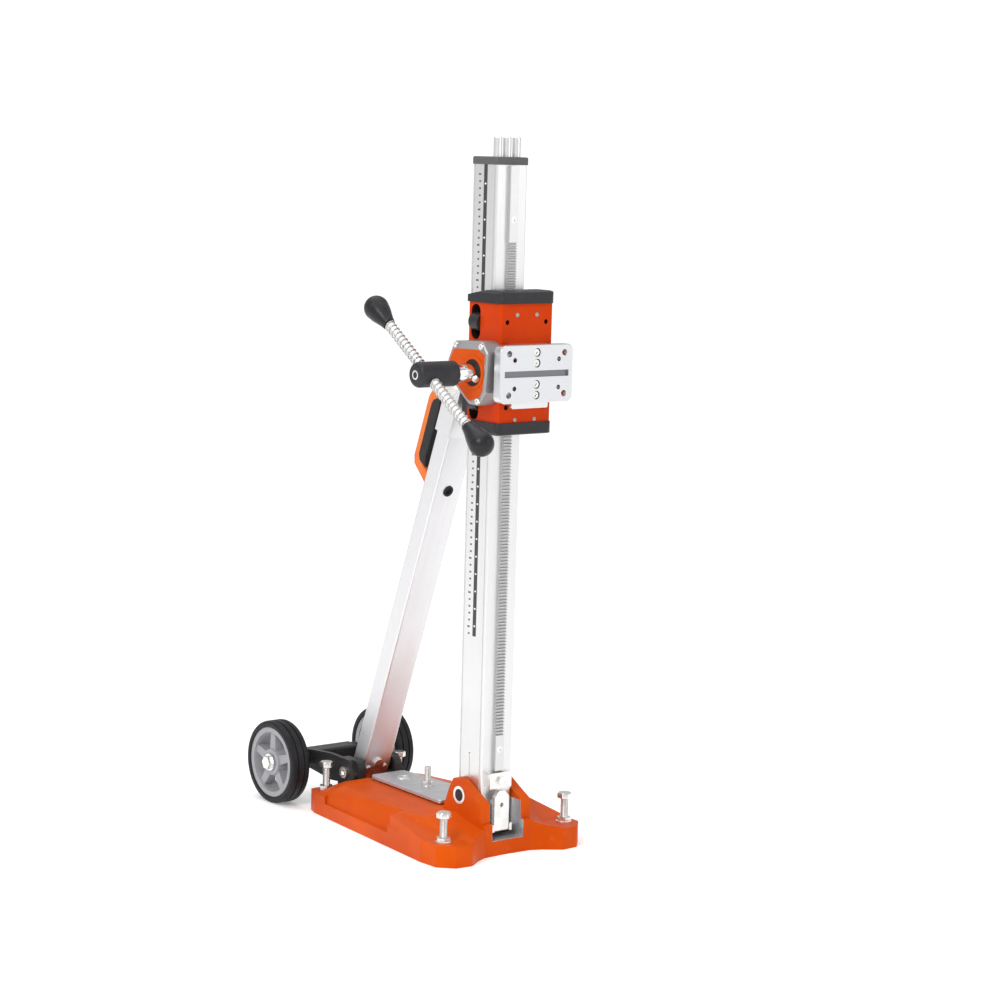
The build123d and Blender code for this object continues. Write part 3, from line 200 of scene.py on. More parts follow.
def powder_coat(name, bright, deep, roughness, milled=False, shade_inside=False):
    """Powder coat: fine orange peel, slight tone drift and dusty scuffs.

    Milled leaves the column's slot as bare metal; the second switch paints shade, nearly black, over the
    inside of the carriage.
    """
    sheen = {"coat_roughness": 0.18, "specular_ior_level": 0.13, "specular_tint": SHEEN}
    coat = Finish(name, roughness=roughness, **sheen)
    drift = coat.noise(9.0, 3.0)
    scuffs = coat.ramp(coat.noise(60.0, 6.0, (1.0, 1.0, 1.0), 0.65), [(0.60, 0.0), (0.74, 1.0)])
    tone = coat.blend(coat.ramp(drift, [(0.35, 0.0), (0.65, 1.0)]), bright, deep)
    wear_and_shade = coat.blend(scuffs * 0.07, tone, SCUFF)
    rough = roughness + scuffs * 0.18 + drift * 0.06
    if milled:
        x, y, z = coat.axes()
        side = SLOT_HALF + MASK_SLACK
        across = (x < side) * (x > -side) * (y < SLOT_REAR)
        bare = across * (z > SLOT_FLOOR - MASK_SLACK) * (z < MILLED_TOP)
        cutter_lines = coat.noise(700.0, 2.0, (0.05, 1.0, 1.0))
        milled_metal = coat.blend(cutter_lines, FRESH_MILLED, DULL_MILLED)
        wear_and_shade = coat.blend(bare, wear_and_shade, milled_metal)
        coat.feed("Metallic", bare * 0.8)
        rough = rough - bare * 0.08
    if shade_inside:
        x, y, z = coat.axes()
        # Painted shade: faces deeper in than the housing's skin, such as the walls of its windows, are made
        # nearly black
        inside = (x < SKIN_X) * (x > -SKIN_X) * (y > SKIN_FRONT) * (y < SKIN_REAR)
        wear_and_shade = coat.blend(inside * 0.97, wear_and_shade, shade(INSIDE_SHADE_GREY))
    coat.feed("Base Color", wear_and_shade)
    coat.feed("Roughness", rough)
    coat.feed("Coat Weight", 0.04 - scuffs * 0.03)
    peel = coat.noise(420.0, 2.0)
    coat.bump(peel + coat.noise(1400.0, 1.0) * 0.4, 0.00022)
    return coat.material


def moulded(name, colour, pale, roughness, grain=1500.0, depth=0.00012):
    """Moulded plastic with a spark-eroded grain and handling marks."""
    plastic = Finish(name, roughness=roughness, specular_ior_level=0.26)
    marks = plastic.ramp(plastic.noise(45.0, 6.0, (1.0, 1.0, 1.0), 0.7), [(0.5, 0.0), (0.72, 1.0)])
    cells = plastic.grains(grain)
    plastic.feed("Base Color", plastic.blend(marks * 0.22 + cells * 0.08, colour, pale))
    plastic.feed("Roughness", roughness + marks * 0.10 - cells * 0.08)
    plastic.bump(cells, depth)
    return plastic.material


# Stretches of the noise that draw a finish's lines along an axis
ALONG_Z = (1.0, 1.0, 0.02)
ALONG_X = (0.03, 1.0, 1.0)
ALONG_BRACE = (1.0, 0.35, 0.05)


def drawn_aluminium(name, light, dark, roughness, along=ALONG_Z):
    """Extruded or brushed aluminium: fine lines along the drawing direction."""
    metal = Finish(name, metallic=1.0, roughness=roughness, anisotropic=0.35)
    lines = metal.noise(900.0, 3.0, along, 0.6)
    broad = metal.noise(90.0, 2.0, along)
    cloud = metal.noise(6.0, 3.0)
    metal.feed("Base Color", metal.blend(lines * 0.5 + cloud * 0.4, light, dark))
    metal.feed("Roughness", roughness - 0.07 + lines * 0.12 + cloud * 0.08)
    metal.bump(lines + broad, 0.00003)
    return metal.material


def plated_steel(name, light, dark, roughness):
    """Zinc-plated steel with blotches of its passivation."""
    metal = Finish(name, metallic=1.0, roughness=roughness)
    blotch = metal.ramp(metal.noise(70.0, 4.0), [(0.35, 0.0), (0.7, 1.0)])
    fine = metal.noise(1600.0, 3.0)
    metal.feed("Base Color", metal.blend(blotch * 0.6, light, dark))
    metal.feed("Roughness", roughness + blotch * 0.10 + fine * 0.05)
    metal.bump(fine, 0.00002)
    return metal.material


def polished_chrome(name):
    chrome = Finish(name, metallic=1.0, roughness=0.08)
    rings = chrome.noise(1500.0, 2.0, (1.0, 0.05, 0.05))
    chrome.feed("Base Color", chrome.blend(rings * 0.4, shade(0.83), shade(0.68)))
    chrome.feed("Roughness", 0.05 + rings * 0.08)
    chrome.bump(rings, 0.00001)
    return chrome.material


def cast_metal(name, light, dark, roughness):
    """Blasted casting: coarse pits and a soft sheen."""
    metal = Finish(name, metallic=0.75, roughness=roughness)
    pits = metal.noise(1100.0, 4.0)
    cloud = metal.noise(25.0, 3.0)
    metal.feed("Base Color", metal.blend(cloud, light, dark))
    metal.feed("Roughness", roughness + pits * 0.12)
    metal.bump(pits, 0.00016)
    return metal.material


def soft_rubber(name, colour, pale, roughness):
    """Rubber: matt, with dust in its pores."""
    rubber = Finish(name, roughness=roughness, specular_ior_level=0.20)
    dust = rubber.ramp(rubber.noise(38.0, 6.0, (1.0, 1.0, 1.0), 0.7), [(0.48, 0.0), (0.75, 1.0)])
    pores = rubber.noise(1900.0, 2.0)
    rubber.feed("Base Color", rubber.blend(dust * 0.25, colour, pale))
    rubber.feed("Roughness", roughness + dust * 0.12 - pores * 0.05)
    rubber.bump(pores, 0.00010)
    return rubber.material


def bronze(name):
    metal = Finish(name, metallic=1.0, roughness=0.4)
    pores = metal.noise(1500.0, 4.0)
    metal.feed("Base Color", metal.blend(pores, (0.62, 0.40, 0.17, 1.0), (0.40, 0.25, 0.11, 1.0)))
    metal.feed("Roughness", 0.32 + pores * 0.2)
    metal.bump(pores, 0.00003)
    return metal.material


def printed_ink(name, colour, pale):
    """Ink on a strip: nearly flat, faintly mottled."""
    ink = Finish(name, roughness=0.42)
    mottle = ink.noise(500.0, 3.0)
    ink.feed("Base Color", ink.blend(mottle, colour, pale))
    ink.feed("Roughness", 0.36 + mottle * 0.12)
    ink.bump(mottle, 0.00001)
    return ink.material


def vial_fluid(name):
    """Tinted fluid under a clear window, seen as a pale green gloss."""
    fluid = Finish(name, roughness=0.08, coat_weight=0.6)
    swirl = fluid.noise(120.0, 2.0)
    fluid.feed("Base Color", fluid.blend(swirl, (0.50, 0.54, 0.44, 1.0), (0.60, 0.63, 0.55, 1.0)))
    fluid.feed("Roughness", 0.06 + swirl * 0.05)
    fluid.bump(swirl, 0.00001)
    return fluid.material


def glowing_floor():
    """White floor with a painted glow, dimmer near the rig and brighter away from it so that no horizon
    shows.
    """
    floor = Finish("studio_floor_glow", roughness=0.85, specular_ior_level=0.0, emission_strength=0.5)
    tone = floor.noise(1.5, 2.0)
    floor.feed("Base Color", floor.blend(tone, shade(0.95), shade(0.97)))
    x, y = floor.axes()[:2]
    # Painted glow: the floor emits light, weakest near the rig
    floor.feed("Emission Color", floor.ramp((x * x + y * y) * 0.12, [(0.0, 0.42), (1.0, 1.0)]))
    return floor.material


def machined_plate(name, light, dark, roughness):
    """Face-milled plate, with painted shade darkening the floor of its key slot."""
    metal = Finish(name, metallic=1.0, roughness=roughness)
    y, z = metal.axes()[1:]
    lines = metal.noise(1100.0, 3.0, (0.04, 1.0, 1.0), 0.6)
    cloud = metal.noise(14.0, 3.0)
    reach = KEYWAY_HALF + KEYWAY_SLACK
    # Painted shade: the floor of the key slot is made dark grey
    deep = (y > KEYWAY_FLOOR - FLOOR_SLACK) * (y < KEYWAY_FLOOR + FLOOR_SLACK)
    keyway = deep * (z > KEYWAY_Z - reach) * (z < KEYWAY_Z + reach)
    plain = metal.blend(lines * 0.4 + cloud * 0.5, light, dark)
    metal.feed("Base Color", metal.blend(keyway, plain, (0.20, 0.20, 0.22, 1.0)))
    metal.feed("Roughness", roughness - 0.06 + lines * 0.12 + cloud * 0.08)
    metal.bump(lines, 0.00003)
    return metal.material


def cut_teeth(name, light, dark, roughness):
    """Milled rack: bright tooth tips, with painted shade darkening the gaps between them."""
    metal = Finish(name, metallic=1.0, roughness=roughness)
    y = metal.axes()[1]
    blotch = metal.noise(70.0, 4.0)
    fine = metal.noise(1600.0, 3.0, (0.05, 1.0, 1.0))
    # Painted shade: darker towards the bottom of the gaps between the teeth
    sunk = metal.ramp((y - RACK_TIP_Y) * (1.0 / RACK_GAP_DEEP), [(0.04, 0.0), (0.9, 1.0)])
    plain = metal.blend(blotch * 0.5 + fine * 0.3, light, dark)
    metal.feed("Base Color", metal.blend(sunk * 0.24, plain, (0.10, 0.10, 0.11, 1.0)))
    metal.feed("Roughness", roughness + blotch * 0.08 + sunk * 0.15)
    metal.bump(fine, 0.00002)
    return metal.material


RACK_TIP_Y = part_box("feed_rack")[0][1]
RACK_GAP_DEEP = 3.4 * MM
PLATE_LOW, PLATE_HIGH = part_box("motor_plate")
KEYWAY_Z = (PLATE_LOW[2] + PLATE_HIGH[2]) / 2
KEYWAY_HALF = 4.5 * MM
KEYWAY_FLOOR = PLATE_LOW[1] + 4.0 * MM
KEYWAY_SLACK = 0.2 * MM
FLOOR_SLACK = 0.3 * MM

FINISHES = {
    "orange_paint": powder_coat("orange_powder_coat", *ORANGE, 0.38),
    "orange_plastic": moulded("orange_plastic", (0.72, 0.15, 0.02, 1), (0.80, 0.30, 0.12, 1), 0.42),
    "zinc_steel": plated_steel("flat_zinc_plate", (0.74, 0.74, 0.77, 1), (0.58, 0.58, 0.61, 1), 0.36),
    "bright_steel": plated_steel("bright_zinc", (0.86, 0.85, 0.83, 1), (0.68, 0.67, 0.64, 1), 0.22),
    "rack_steel": plated_steel("milled_steel", shade(0.84), shade(0.70), 0.33),
    "spring_steel": plated_steel("spring_wire", shade(0.58), shade(0.44), 0.24),
    "chrome_steel": polished_chrome("hard_chrome"),
    "anodised_aluminium": drawn_aluminium("anodised_extrusion", shade(0.81), shade(0.69), 0.34),
    "brace_aluminium": drawn_aluminium("satin_tube", shade(0.82), (0.72, 0.71, 0.74, 1), 0.40, ALONG_BRACE),
    "machined_aluminium": drawn_aluminium("machined_plate", shade(0.84), shade(0.70), 0.28, ALONG_X),
    "cast_aluminium": cast_metal("blasted_casting", shade(0.42), shade(0.30), 0.40),
    "dark_plastic": moulded("dark_plastic", (0.020, 0.020, 0.023, 1), shade(0.065), 0.46),
    "grey_plastic": moulded("mid_grey_plastic", (0.34, 0.34, 0.36, 1), shade(0.46), 0.42),
    "knob_plastic": moulded("knob_plastic", (0.014, 0.014, 0.018, 1), shade(0.045), 0.34, 2400.0, 0.00005),
    "level_body": vial_fluid("level_vial"),
    "black_paint": moulded("black_coat", shade(0.022), shade(0.07), 0.40, 2600.0, 0.00006),
    "rubber": soft_rubber("black_rubber", shade(0.018), shade(0.07), 0.62),
    "grip_rubber": soft_rubber("grip_rubber", shade(0.024), shade(0.08), 0.58),
    "tyre_rubber": soft_rubber("tyre_rubber", (0.014, 0.014, 0.016, 1), shade(0.07), 0.46),
    "roller_nylon": moulded("roller_nylon", shade(0.02), shade(0.06), 0.40),
    "scale_black": printed_ink("scale_ink", shade(0.02), shade(0.035)),
    "bearing_bronze": bronze("sintered_bronze"),
}
MILLED_COAT = powder_coat("orange_milled_coat", *ORANGE, 0.38, milled=True)
# The housing's coat carries painted shade, nearly black, inside the housing
HOUSING_COAT_SHADED = powder_coat("orange_housing_coat_painted_shade", *HOUSING_ORANGE, 0.36, shade_inside=True)
# The plate's finish carries painted shade in the floor of its key slot
KEYWAY_SHADED_PLATE = machined_plate("face_milled_plate_painted_shade", (0.77, 0.78, 0.80, 1), (0.63, 0.64, 0.66, 1), 0.25)
# The rack's finish carries painted shade in the gaps between its teeth
GAP_SHADED_RACK = cut_teeth("toothed_rack_painted_shade", shade(0.74), shade(0.62), 0.34)
GREY_CAP = moulded("grey_cap", (0.085, 0.088, 0.092, 1), shade(0.16), 0.50)
WHITE_SLEEVE = plated_steel("satin_sleeve", (0.93, 0.92, 0.91, 1), (0.84, 0.83, 0.82, 1), 0.46)
BUBBLE = printed_ink("level_bubble", (0.80, 0.82, 0.76, 1.0), (0.74, 0.76, 0.70, 1.0))
WHITE_INK = printed_ink("white_ink", shade(0.85), shade(0.75))
GREY_INK = printed_ink("grey_ink", shade(0.06), shade(0.12))


# ---- meshes: tools -------------------------------------------------------------------------
def centre(node):
    """Middle of a frame piece's box."""
    low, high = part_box(node)
    return (Vector(low) + Vector(high)) / 2


def extent(node):
    """Size of a frame piece's box."""
    low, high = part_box(node)
    return Vector(high) - Vector(low)


def piece_from(name, mesh_data, body, slot, smooth=True):
    """Makes a piece from a bmesh, on a body, with the finish of a material slot."""
    mesh = bpy.data.meshes.new(name)
    bmesh.ops.recalc_face_normals(mesh_data, faces=mesh_data.faces)
    mesh_data.to_mesh(mesh)
    mesh_data.free()
    for face in mesh.polygons:
        face.use_smooth = smooth
    piece = bpy.data.objects.new(name, mesh)
    bpy.context.scene.collection.objects.link(piece)
    mesh.materials.append(FINISHES[slot])
    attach(piece, body)
    return piece


def crease_by_angle(piece, degrees=32):
    """Smooth shading with sharp edges where faces meet steeply."""
    mesh = bmesh.new()
    mesh.from_mesh(piece.data)
    for edge in mesh.edges:
        steep = len(edge.link_faces) == 2 and edge.calc_face_angle(0.0) > radians(degrees)
        edge.smooth = not steep
    mesh.to_mesh(piece.data)
    mesh.free()


def lathe(profile, steps=64, closed=False):
    """A body of revolution about Z from (radius, height) points.

    The points start and end on the axis, or run right round a ring's section when closed.
    """
    mesh = bmesh.new()
    rings = []
    for radius, height in profile:
        if radius < 1e-9:
            rings.append([mesh.verts.new((0, 0, height))])
            continue
        ring = []
        for step in range(steps):
            turn = 2 * pi * step / steps
            ring.append(mesh.verts.new((radius * cos(turn), radius * sin(turn), height)))
        rings.append(ring)
    for lower, upper in zip(rings, rings[1:]):
        join_rings(mesh, lower, upper)
    if closed:
        join_rings(mesh, rings[-1], rings[0])
    return mesh


def join_rings(mesh, lower, upper):
    """Faces between two rings of vertices; either may be a single point."""
    count = max(len(lower), len(upper))
    for step in range(count):
        after = (step + 1) % count
        below = [lower[step % len(lower)], lower[after % len(lower)]]
        above = [upper[after % len(upper)], upper[step % len(upper)]]
        unique = list(dict.fromkeys(below + above))
        mesh.faces.new(unique)


def skin(mesh, rings):
    """Joins rings of vertices into a closed body, capped at both ends."""
    for lower, upper in zip(rings, rings[1:]):
        join_rings(mesh, lower, upper)
    mesh.faces.new(rings[0])
    mesh.faces.new(rings[-1])


def arc(radius, start, end, at=(0.0, 0.0), steps=8):
    """Points on an arc, in degrees, as (radius from the axis, height)."""
    points = []
    for step in range(steps + 1):
        turn = radians(start + (end - start) * step / steps)
        points.append((at[0] + radius * cos(turn), at[1] + radius * sin(turn)))
    return points


def merge(mesh, other):
    """Adds another bmesh to a mesh, and frees the other."""
    carrier = bpy.data.meshes.new("carrier")
    other.to_mesh(carrier)
    other.free()
    mesh.from_mesh(carrier)
    bpy.data.meshes.remove(carrier)


def facing_left(place):
    """Placement that turns a shape made along +Z to look along -X from a place."""
    return Matrix.Translation(place) @ Matrix.Rotation(-pi / 2, 4, "Y")


def facing_front(place):
    """Placement that turns a shape made along +Z to look along -Y from a place."""
    return Matrix.Translation(place) @ Matrix.Rotation(pi / 2, 4, "X")


def in_millimetres(points):
    """Points in metres, from numbers in millimetres."""
    return [tuple(number * MM for number in point) for point in points]


def soften(piece, width, segments=2, degrees=30):
    """Rounds the edges where faces meet steeply."""
    soft = piece.modifiers.new("soft_edges", "BEVEL")
    soft.width = width
    soft.segments = segments
    soft.limit_method = "ANGLE"
    soft.angle_limit = radians(degrees)


def block_mesh(mesh, low, high):
    """Adds a box between two corners to a bmesh."""
    made = bmesh.ops.create_cube(mesh, size=1.0)["verts"]
    middle = (Vector(low) + Vector(high)) / 2
    span = Vector(high) - Vector(low)
    bmesh.ops.scale(mesh, vec=span, verts=made)
    bmesh.ops.translate(mesh, vec=middle, verts=made)


SPECIAL_FINISHES = {
    "base_casting": MILLED_COAT, "motor_plate": KEYWAY_SHADED_PLATE, "carriage_housing": HOUSING_COAT_SHADED,
    "feed_rack": GAP_SHADED_RACK, "column_caps": GREY_CAP,
}


WELD_WITHIN = 0.02 * MM


def dress(node, slot, bevel=0.0):
    """Gives a frame piece its finish, and softens its edges."""
    piece = NODES[node]
    piece.data.materials.clear()
    piece.data.materials.append(SPECIAL_FINISHES.get(node, FINISHES[slot]))
    if bevel:
        weld = piece.modifiers.new("weld", "WELD")
        weld.merge_threshold = WELD_WITHIN
        soften(piece, bevel, degrees=40)


# ---- frame pieces --------------------------------------------------------------------------
EDGE_BEVELS = {
    "base_casting": 1.6 * MM, "plate_adapter": 0.8 * MM, "carriage_housing": 0.8 * MM,
    "carriage_caps": 2.0 * MM, "column_caps": 0.6 * MM, "gearbox_casting": 0.9 * MM,
    "gearbox_panel": 0.5 * MM, "handle_frame": 1.6 * MM, "handle_grip": 1.2 * MM,
    "wheel_frame": 0.8 * MM, "brace_clamp": 0.8 * MM, "brace_head": 1.0 * MM,
    "wheel_rim_left": 0.8 * MM, "wheel_rim_right": 0.8 * MM, "brace_tube": 0.4 * MM,
    "pointer_arm": 0.4 * MM, "pointer_bracket": 0.4 * MM, "pointer_hinge": 0.3 * MM,
}


def dress_frame():
    for entry in frame["record"]["subparts"]:
        node = entry["node"]
        dress(node, entry["material_slot"], EDGE_BEVELS.get(node, 0.0))


dress_frame()


# ---- crank grip springs and knobs ----------------------------------------------------------
WIRE_R = 1.1 * MM
COIL_R = 7.3 * MM
SLEEVE_R = 6.4 * MM
COIL_PITCH = 7.9 * MM
HUB_R = extent("crank_hub").z / 2
KNOB_R = 18.0 * MM
KNOB_SPAN = extent("crank_knobs")
CRANK_CENTRE = centre("crank_bar")
REACH_Y = KNOB_SPAN.y / 2 - KNOB_R
REACH_Z = KNOB_SPAN.z / 2 - KNOB_R
KNOB_REACH = hypot(REACH_Y, REACH_Z)
NECK_AT = 111.0 * MM
ARM_TURN = atan2(REACH_Y, REACH_Z)


def on_crank(arm):
    """Placement of a shape made along +Z from the crank's centre; arm 1 points the other way."""
    return Matrix.Translation(CRANK_CENTRE) @ Matrix.Rotation(-ARM_TURN + pi * arm, 4, "X")


def swept_wire(points, radius, steps=10):
    """A tube along points, capped at both ends."""
    mesh = bmesh.new()
    rings = []
    for index, point in enumerate(points):
        before = points[max(index - 1, 0)]
        after = points[min(index + 1, len(points) - 1)]
        along = (after - before).normalized()
        side = along.cross(Vector((0.0, 0.0, 1.0))).normalized()
        up = side.cross(along)
        ring = []
        for step in range(steps):
            turn = 2 * pi * step / steps
            ring.append(mesh.verts.new(point + radius * (cos(turn) * side + sin(turn) * up)))
        rings.append(ring)
    skin(mesh, rings)
    return mesh


def grip_spring(arm):
    """Close coil of round wire round the crank bar, from the hub to the knob."""
    start = HUB_R - 1.0 * MM
    turns = (NECK_AT - start) / COIL_PITCH
    steps = int(turns * 28)
    points = []
    for step in range(steps + 1):
        turn = 2 * pi * turns * step / steps
        height = start + (NECK_AT - start) * step / steps
        points.append(Vector((COIL_R * cos(turn), COIL_R * sin(turn), height)))
    mesh = swept_wire(points, WIRE_R)
    mesh.transform(on_crank(arm))
    spring = piece_from(f"grip_spring_{arm}", mesh, "crank", "spring_steel")
    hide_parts("crank_springs")


def grip_sleeve(arm):
    """Smooth tube inside the coil."""
    start = HUB_R - 1.0 * MM
    mesh = lathe([(0.0, start), (SLEEVE_R, start), (SLEEVE_R, NECK_AT), (0.0, NECK_AT)], 40)
    mesh.transform(on_crank(arm))
    sleeve = piece_from(f"grip_sleeve_{arm}", mesh, "crank", "spring_steel")
    crease_by_angle(sleeve)
    sleeve.data.materials[0] = WHITE_SLEEVE


def crank_knob(arm):
    """Pear-shaped knob: a neck that swells smoothly into a ball."""
    neck_r = 9.2 * MM
    profile = [(0.0, NECK_AT), (neck_r - 0.8 * MM, NECK_AT), (neck_r, NECK_AT + 0.8 * MM)]
    rise = KNOB_REACH - 6 * MM - NECK_AT
    for step in range(1, 11):
        share = step / 10
        swell = share * share * (3 - 2 * share) * 0.55 + share * 0.45
        profile.append((neck_r + (KNOB_R * 0.945 - neck_r) * swell, NECK_AT + rise * share))
    first = asin(-6 * MM / KNOB_R * 0.95) * 180 / pi
    profile += arc(KNOB_R, first + 8, 89, (0.0, KNOB_REACH), 12)
    profile.append((0.0, KNOB_REACH + KNOB_R))
    mesh = lathe(profile, 48)
    mesh.transform(on_crank(arm))
    knob = piece_from(f"crank_knob_{arm}", mesh, "crank", "knob_plastic")
    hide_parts("crank_knobs")


for side_arm in (0, 1):
    grip_spring(side_arm)
    grip_sleeve(side_arm)
    crank_knob(side_arm)


# ---- threads -------------------------------------------------------------------------------
def thread_mesh(radius, pitch, low, high, steps=32):
    """A screw's shank with a helical V-thread, closed by its end faces."""
    depth = 0.55 * pitch
    mesh = bmesh.new()
    count = int((high - low) / pitch * 8)
    rings = []
    for level in range(count + 1):
        height = low + (high - low) * level / count
        ring = []
        for step in range(steps):
            turn = 2 * pi * step / steps
            phase = (height / pitch - step / steps) % 1.0
            cut = depth * abs(2 * phase - 1)
            fade = min(1.0, (height - low) / pitch, (high - height) / pitch)
            reach = radius - cut * fade - (1 - fade) * 0.3 * depth
            ring.append(mesh.verts.new((reach * cos(turn), reach * sin(turn), height)))
        rings.append(ring)
    skin(mesh, rings)
    return mesh


def hex_head(mesh, across_flats, low, high):
    """Adds a hexagon head, its upper corners turned off in a cone."""
    corner = across_flats / 2 / cos(pi / 6)
    levels = [(low, 1.0), (high - 1.2 * MM, 1.0), (high, None)]
    rings = []
    for height, share in levels:
        ring = []
        for step in range(48):
            turn = 2 * pi * step / 48
            flat = across_flats / 2 / cos((turn + pi / 6) % (pi / 3) - pi / 6)
            reach = min(flat, corner * 0.985) if share else across_flats / 2 * 0.96
            ring.append(mesh.verts.new((reach * cos(turn), reach * sin(turn), height)))
        rings.append(ring)
    skin(mesh, rings)


M12_R = 5.95 * MM
M12_PITCH = 1.75 * MM
HEAD_HIGH = 8.0 * MM        # of a levelling screw
M10_R = 4.95 * MM
M10_PITCH = 1.5 * MM
FOOT_HIGH = 6.0 * MM        # of the stud's T-shaped foot


def levelling_screw(corner):
    """Levelling screw with its thread and hexagon head."""
    node = f"levelling_screw_{corner}"
    low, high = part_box(node)
    middle = centre(node)
    head_low = high[2] - HEAD_HIGH
    mesh = thread_mesh(M12_R, M12_PITCH, low[2], head_low + 0.2 * MM)
    hex_head(mesh, extent(node).y, head_low, high[2])
    mesh.transform(Matrix.Translation((middle.x, middle.y, 0)))
    screw = piece_from(f"screw_{corner}", mesh, node, "bright_steel")
    crease_by_angle(screw, 28)
    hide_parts(node)


for corner in ("front_left", "front_right", "rear_left", "rear_right"):
    levelling_screw(corner)


def anchor_stud():
    """Threaded stud on its T-shaped foot."""
    low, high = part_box("anchor_stud")
    middle = centre("anchor_stud")
    mesh = thread_mesh(M10_R, M10_PITCH, low[2] + FOOT_HIGH, high[2])
    mesh.transform(Matrix.Translation((middle.x, middle.y, 0)))
    block_mesh(mesh, low, (high[0], high[1], low[2] + FOOT_HIGH + 0.2 * MM))
    stud = piece_from("anchor_stud_threaded", mesh, "base", "bright_steel")
    crease_by_angle(stud, 28)
    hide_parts("anchor_stud")


anchor_stud()


# ---- socket screws, nuts and small fittings --------------------------------------------------
def socket_screw(name, place, sizes, facing=facing_front, slot="bright_steel", node=None):
    """A cap screw on the carriage, with a six-sided socket sunk in its head.

    The sizes are the head's radius and height and the socket's radius.
    """
    head_r, head_high, socket_r = sizes
    mesh = bmesh.new()
    deep = 0.55 * head_high
    profile = [
        (head_r, 0.0, False), (head_r, head_high - 0.5 * MM, False), (head_r - 0.5 * MM, head_high, False),
        (socket_r + 0.25 * MM, head_high, True), (socket_r, head_high - 0.3 * MM, True),
        (socket_r, head_high - deep, True),
    ]
    rings = []
    for radius, height, six_sided in profile:
        ring = []
        for step in range(36):
            angle = 2 * pi * step / 36
            reach = radius
            if six_sided:
                reach = radius * cos(pi / 6) / cos(angle % (pi / 3) - pi / 6)
            ring.append(mesh.verts.new((reach * cos(angle), reach * sin(angle), height)))
        rings.append(ring)
    skin(mesh, rings)
    mesh.transform(facing(place))
    screw = piece_from(name, mesh, "carriage", slot)
    crease_by_angle(screw, 30)
    if node:
        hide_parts(node)


# Head radius, head height and socket radius of each kind of screw
PLATE_SCREW = (5.3 * MM, 4.6 * MM, 2.6 * MM)
HOUSING_SCREW = (3.1 * MM, 0.9 * MM, 1.6 * MM)
GEARBOX_SCREW = (4.4 * MM, 3.0 * MM, 2.1 * MM)
PLATE_SCREW_SUNK = 6.0 * MM
PLATE_SCREW_Z = (-30.0 * MM, -15.0 * MM, 15.0 * MM, 30.0 * MM)
FACE_SCREW_X = 17.7 * MM
FACE_SCREW_Z = (HOUSING_LOW[2] + 4.1 * MM, HOUSING_HIGH[2] - 15.7 * MM)
GEARBOX_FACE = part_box("gearbox_casting")[0][0]
GEARBOX_SCREW_PLACES = ((-5.0, 738.0), (-62.5, 738.5), (-57.0, 661.5), (8.0, 699.0))


def carriage_screws():
    for index, rise in enumerate(PLATE_SCREW_Z):
        place = (0.0, PLATE_LOW[1] + PLATE_SCREW_SUNK, KEYWAY_Z + rise)
        socket_screw(f"plate_screw_{index}", place, PLATE_SCREW, node="carriage_screws")
    for level, z in zip(("lower", "upper"), FACE_SCREW_Z):
        for side, name in ((-1, "left"), (1, "right")):
            place = (side * FACE_SCREW_X, HOUSING_LOW[1], z)
            socket_screw(f"housing_screw_{level}_{name}", place, HOUSING_SCREW, slot="cast_aluminium")
    for index, (y, z) in enumerate(GEARBOX_SCREW_PLACES):
        place = (GEARBOX_FACE, y * MM, z * MM)
        socket_screw(f"gearbox_screw_{index}", place, GEARBOX_SCREW, facing=facing_left)


carriage_screws()


BOLT_FROM_END = 20.0 * MM    # of the sleeve
BOLT_TURN = radians(118)


def sleeve_bolt():
    """Clamping bolt across the crank's sleeve, its hexagon head towards the front."""
    inner_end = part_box("crank_sleeve")[1][0]
    axis = centre("crank_sleeve")
    mesh = bmesh.new()
    hex_head(mesh, 9.0 * MM, 14.5 * MM, 19.5 * MM)
    merge(mesh, lathe(in_millimetres([(0.0, 10.0), (3.2, 10.0), (3.2, 15.0), (0.0, 15.0)]), 24))
    place = Matrix.Translation((inner_end - BOLT_FROM_END, axis.y, axis.z))
    mesh.transform(place @ Matrix.Rotation(BOLT_TURN, 4, "X"))
    bolt = piece_from("sleeve_bolt", mesh, "crank", "bright_steel")
    crease_by_angle(bolt, 30)


def hub_end_ring():
    """Thin ring let into the hub's outer end."""
    outer_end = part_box("crank_hub")[0][0]
    axis = centre("crank_hub")
    section = [(4.4, -0.5), (6.6, -0.5), (6.6, 0.2), (6.2, 0.45), (4.8, 0.45), (4.4, 0.2)]
    mesh = lathe(in_millimetres(section), 48, closed=True)
    mesh.transform(facing_left((outer_end + 0.05 * MM, axis.y, axis.z)))
    ring = piece_from("hub_end_ring", mesh, "crank", "bright_steel")
    crease_by_angle(ring, 30)


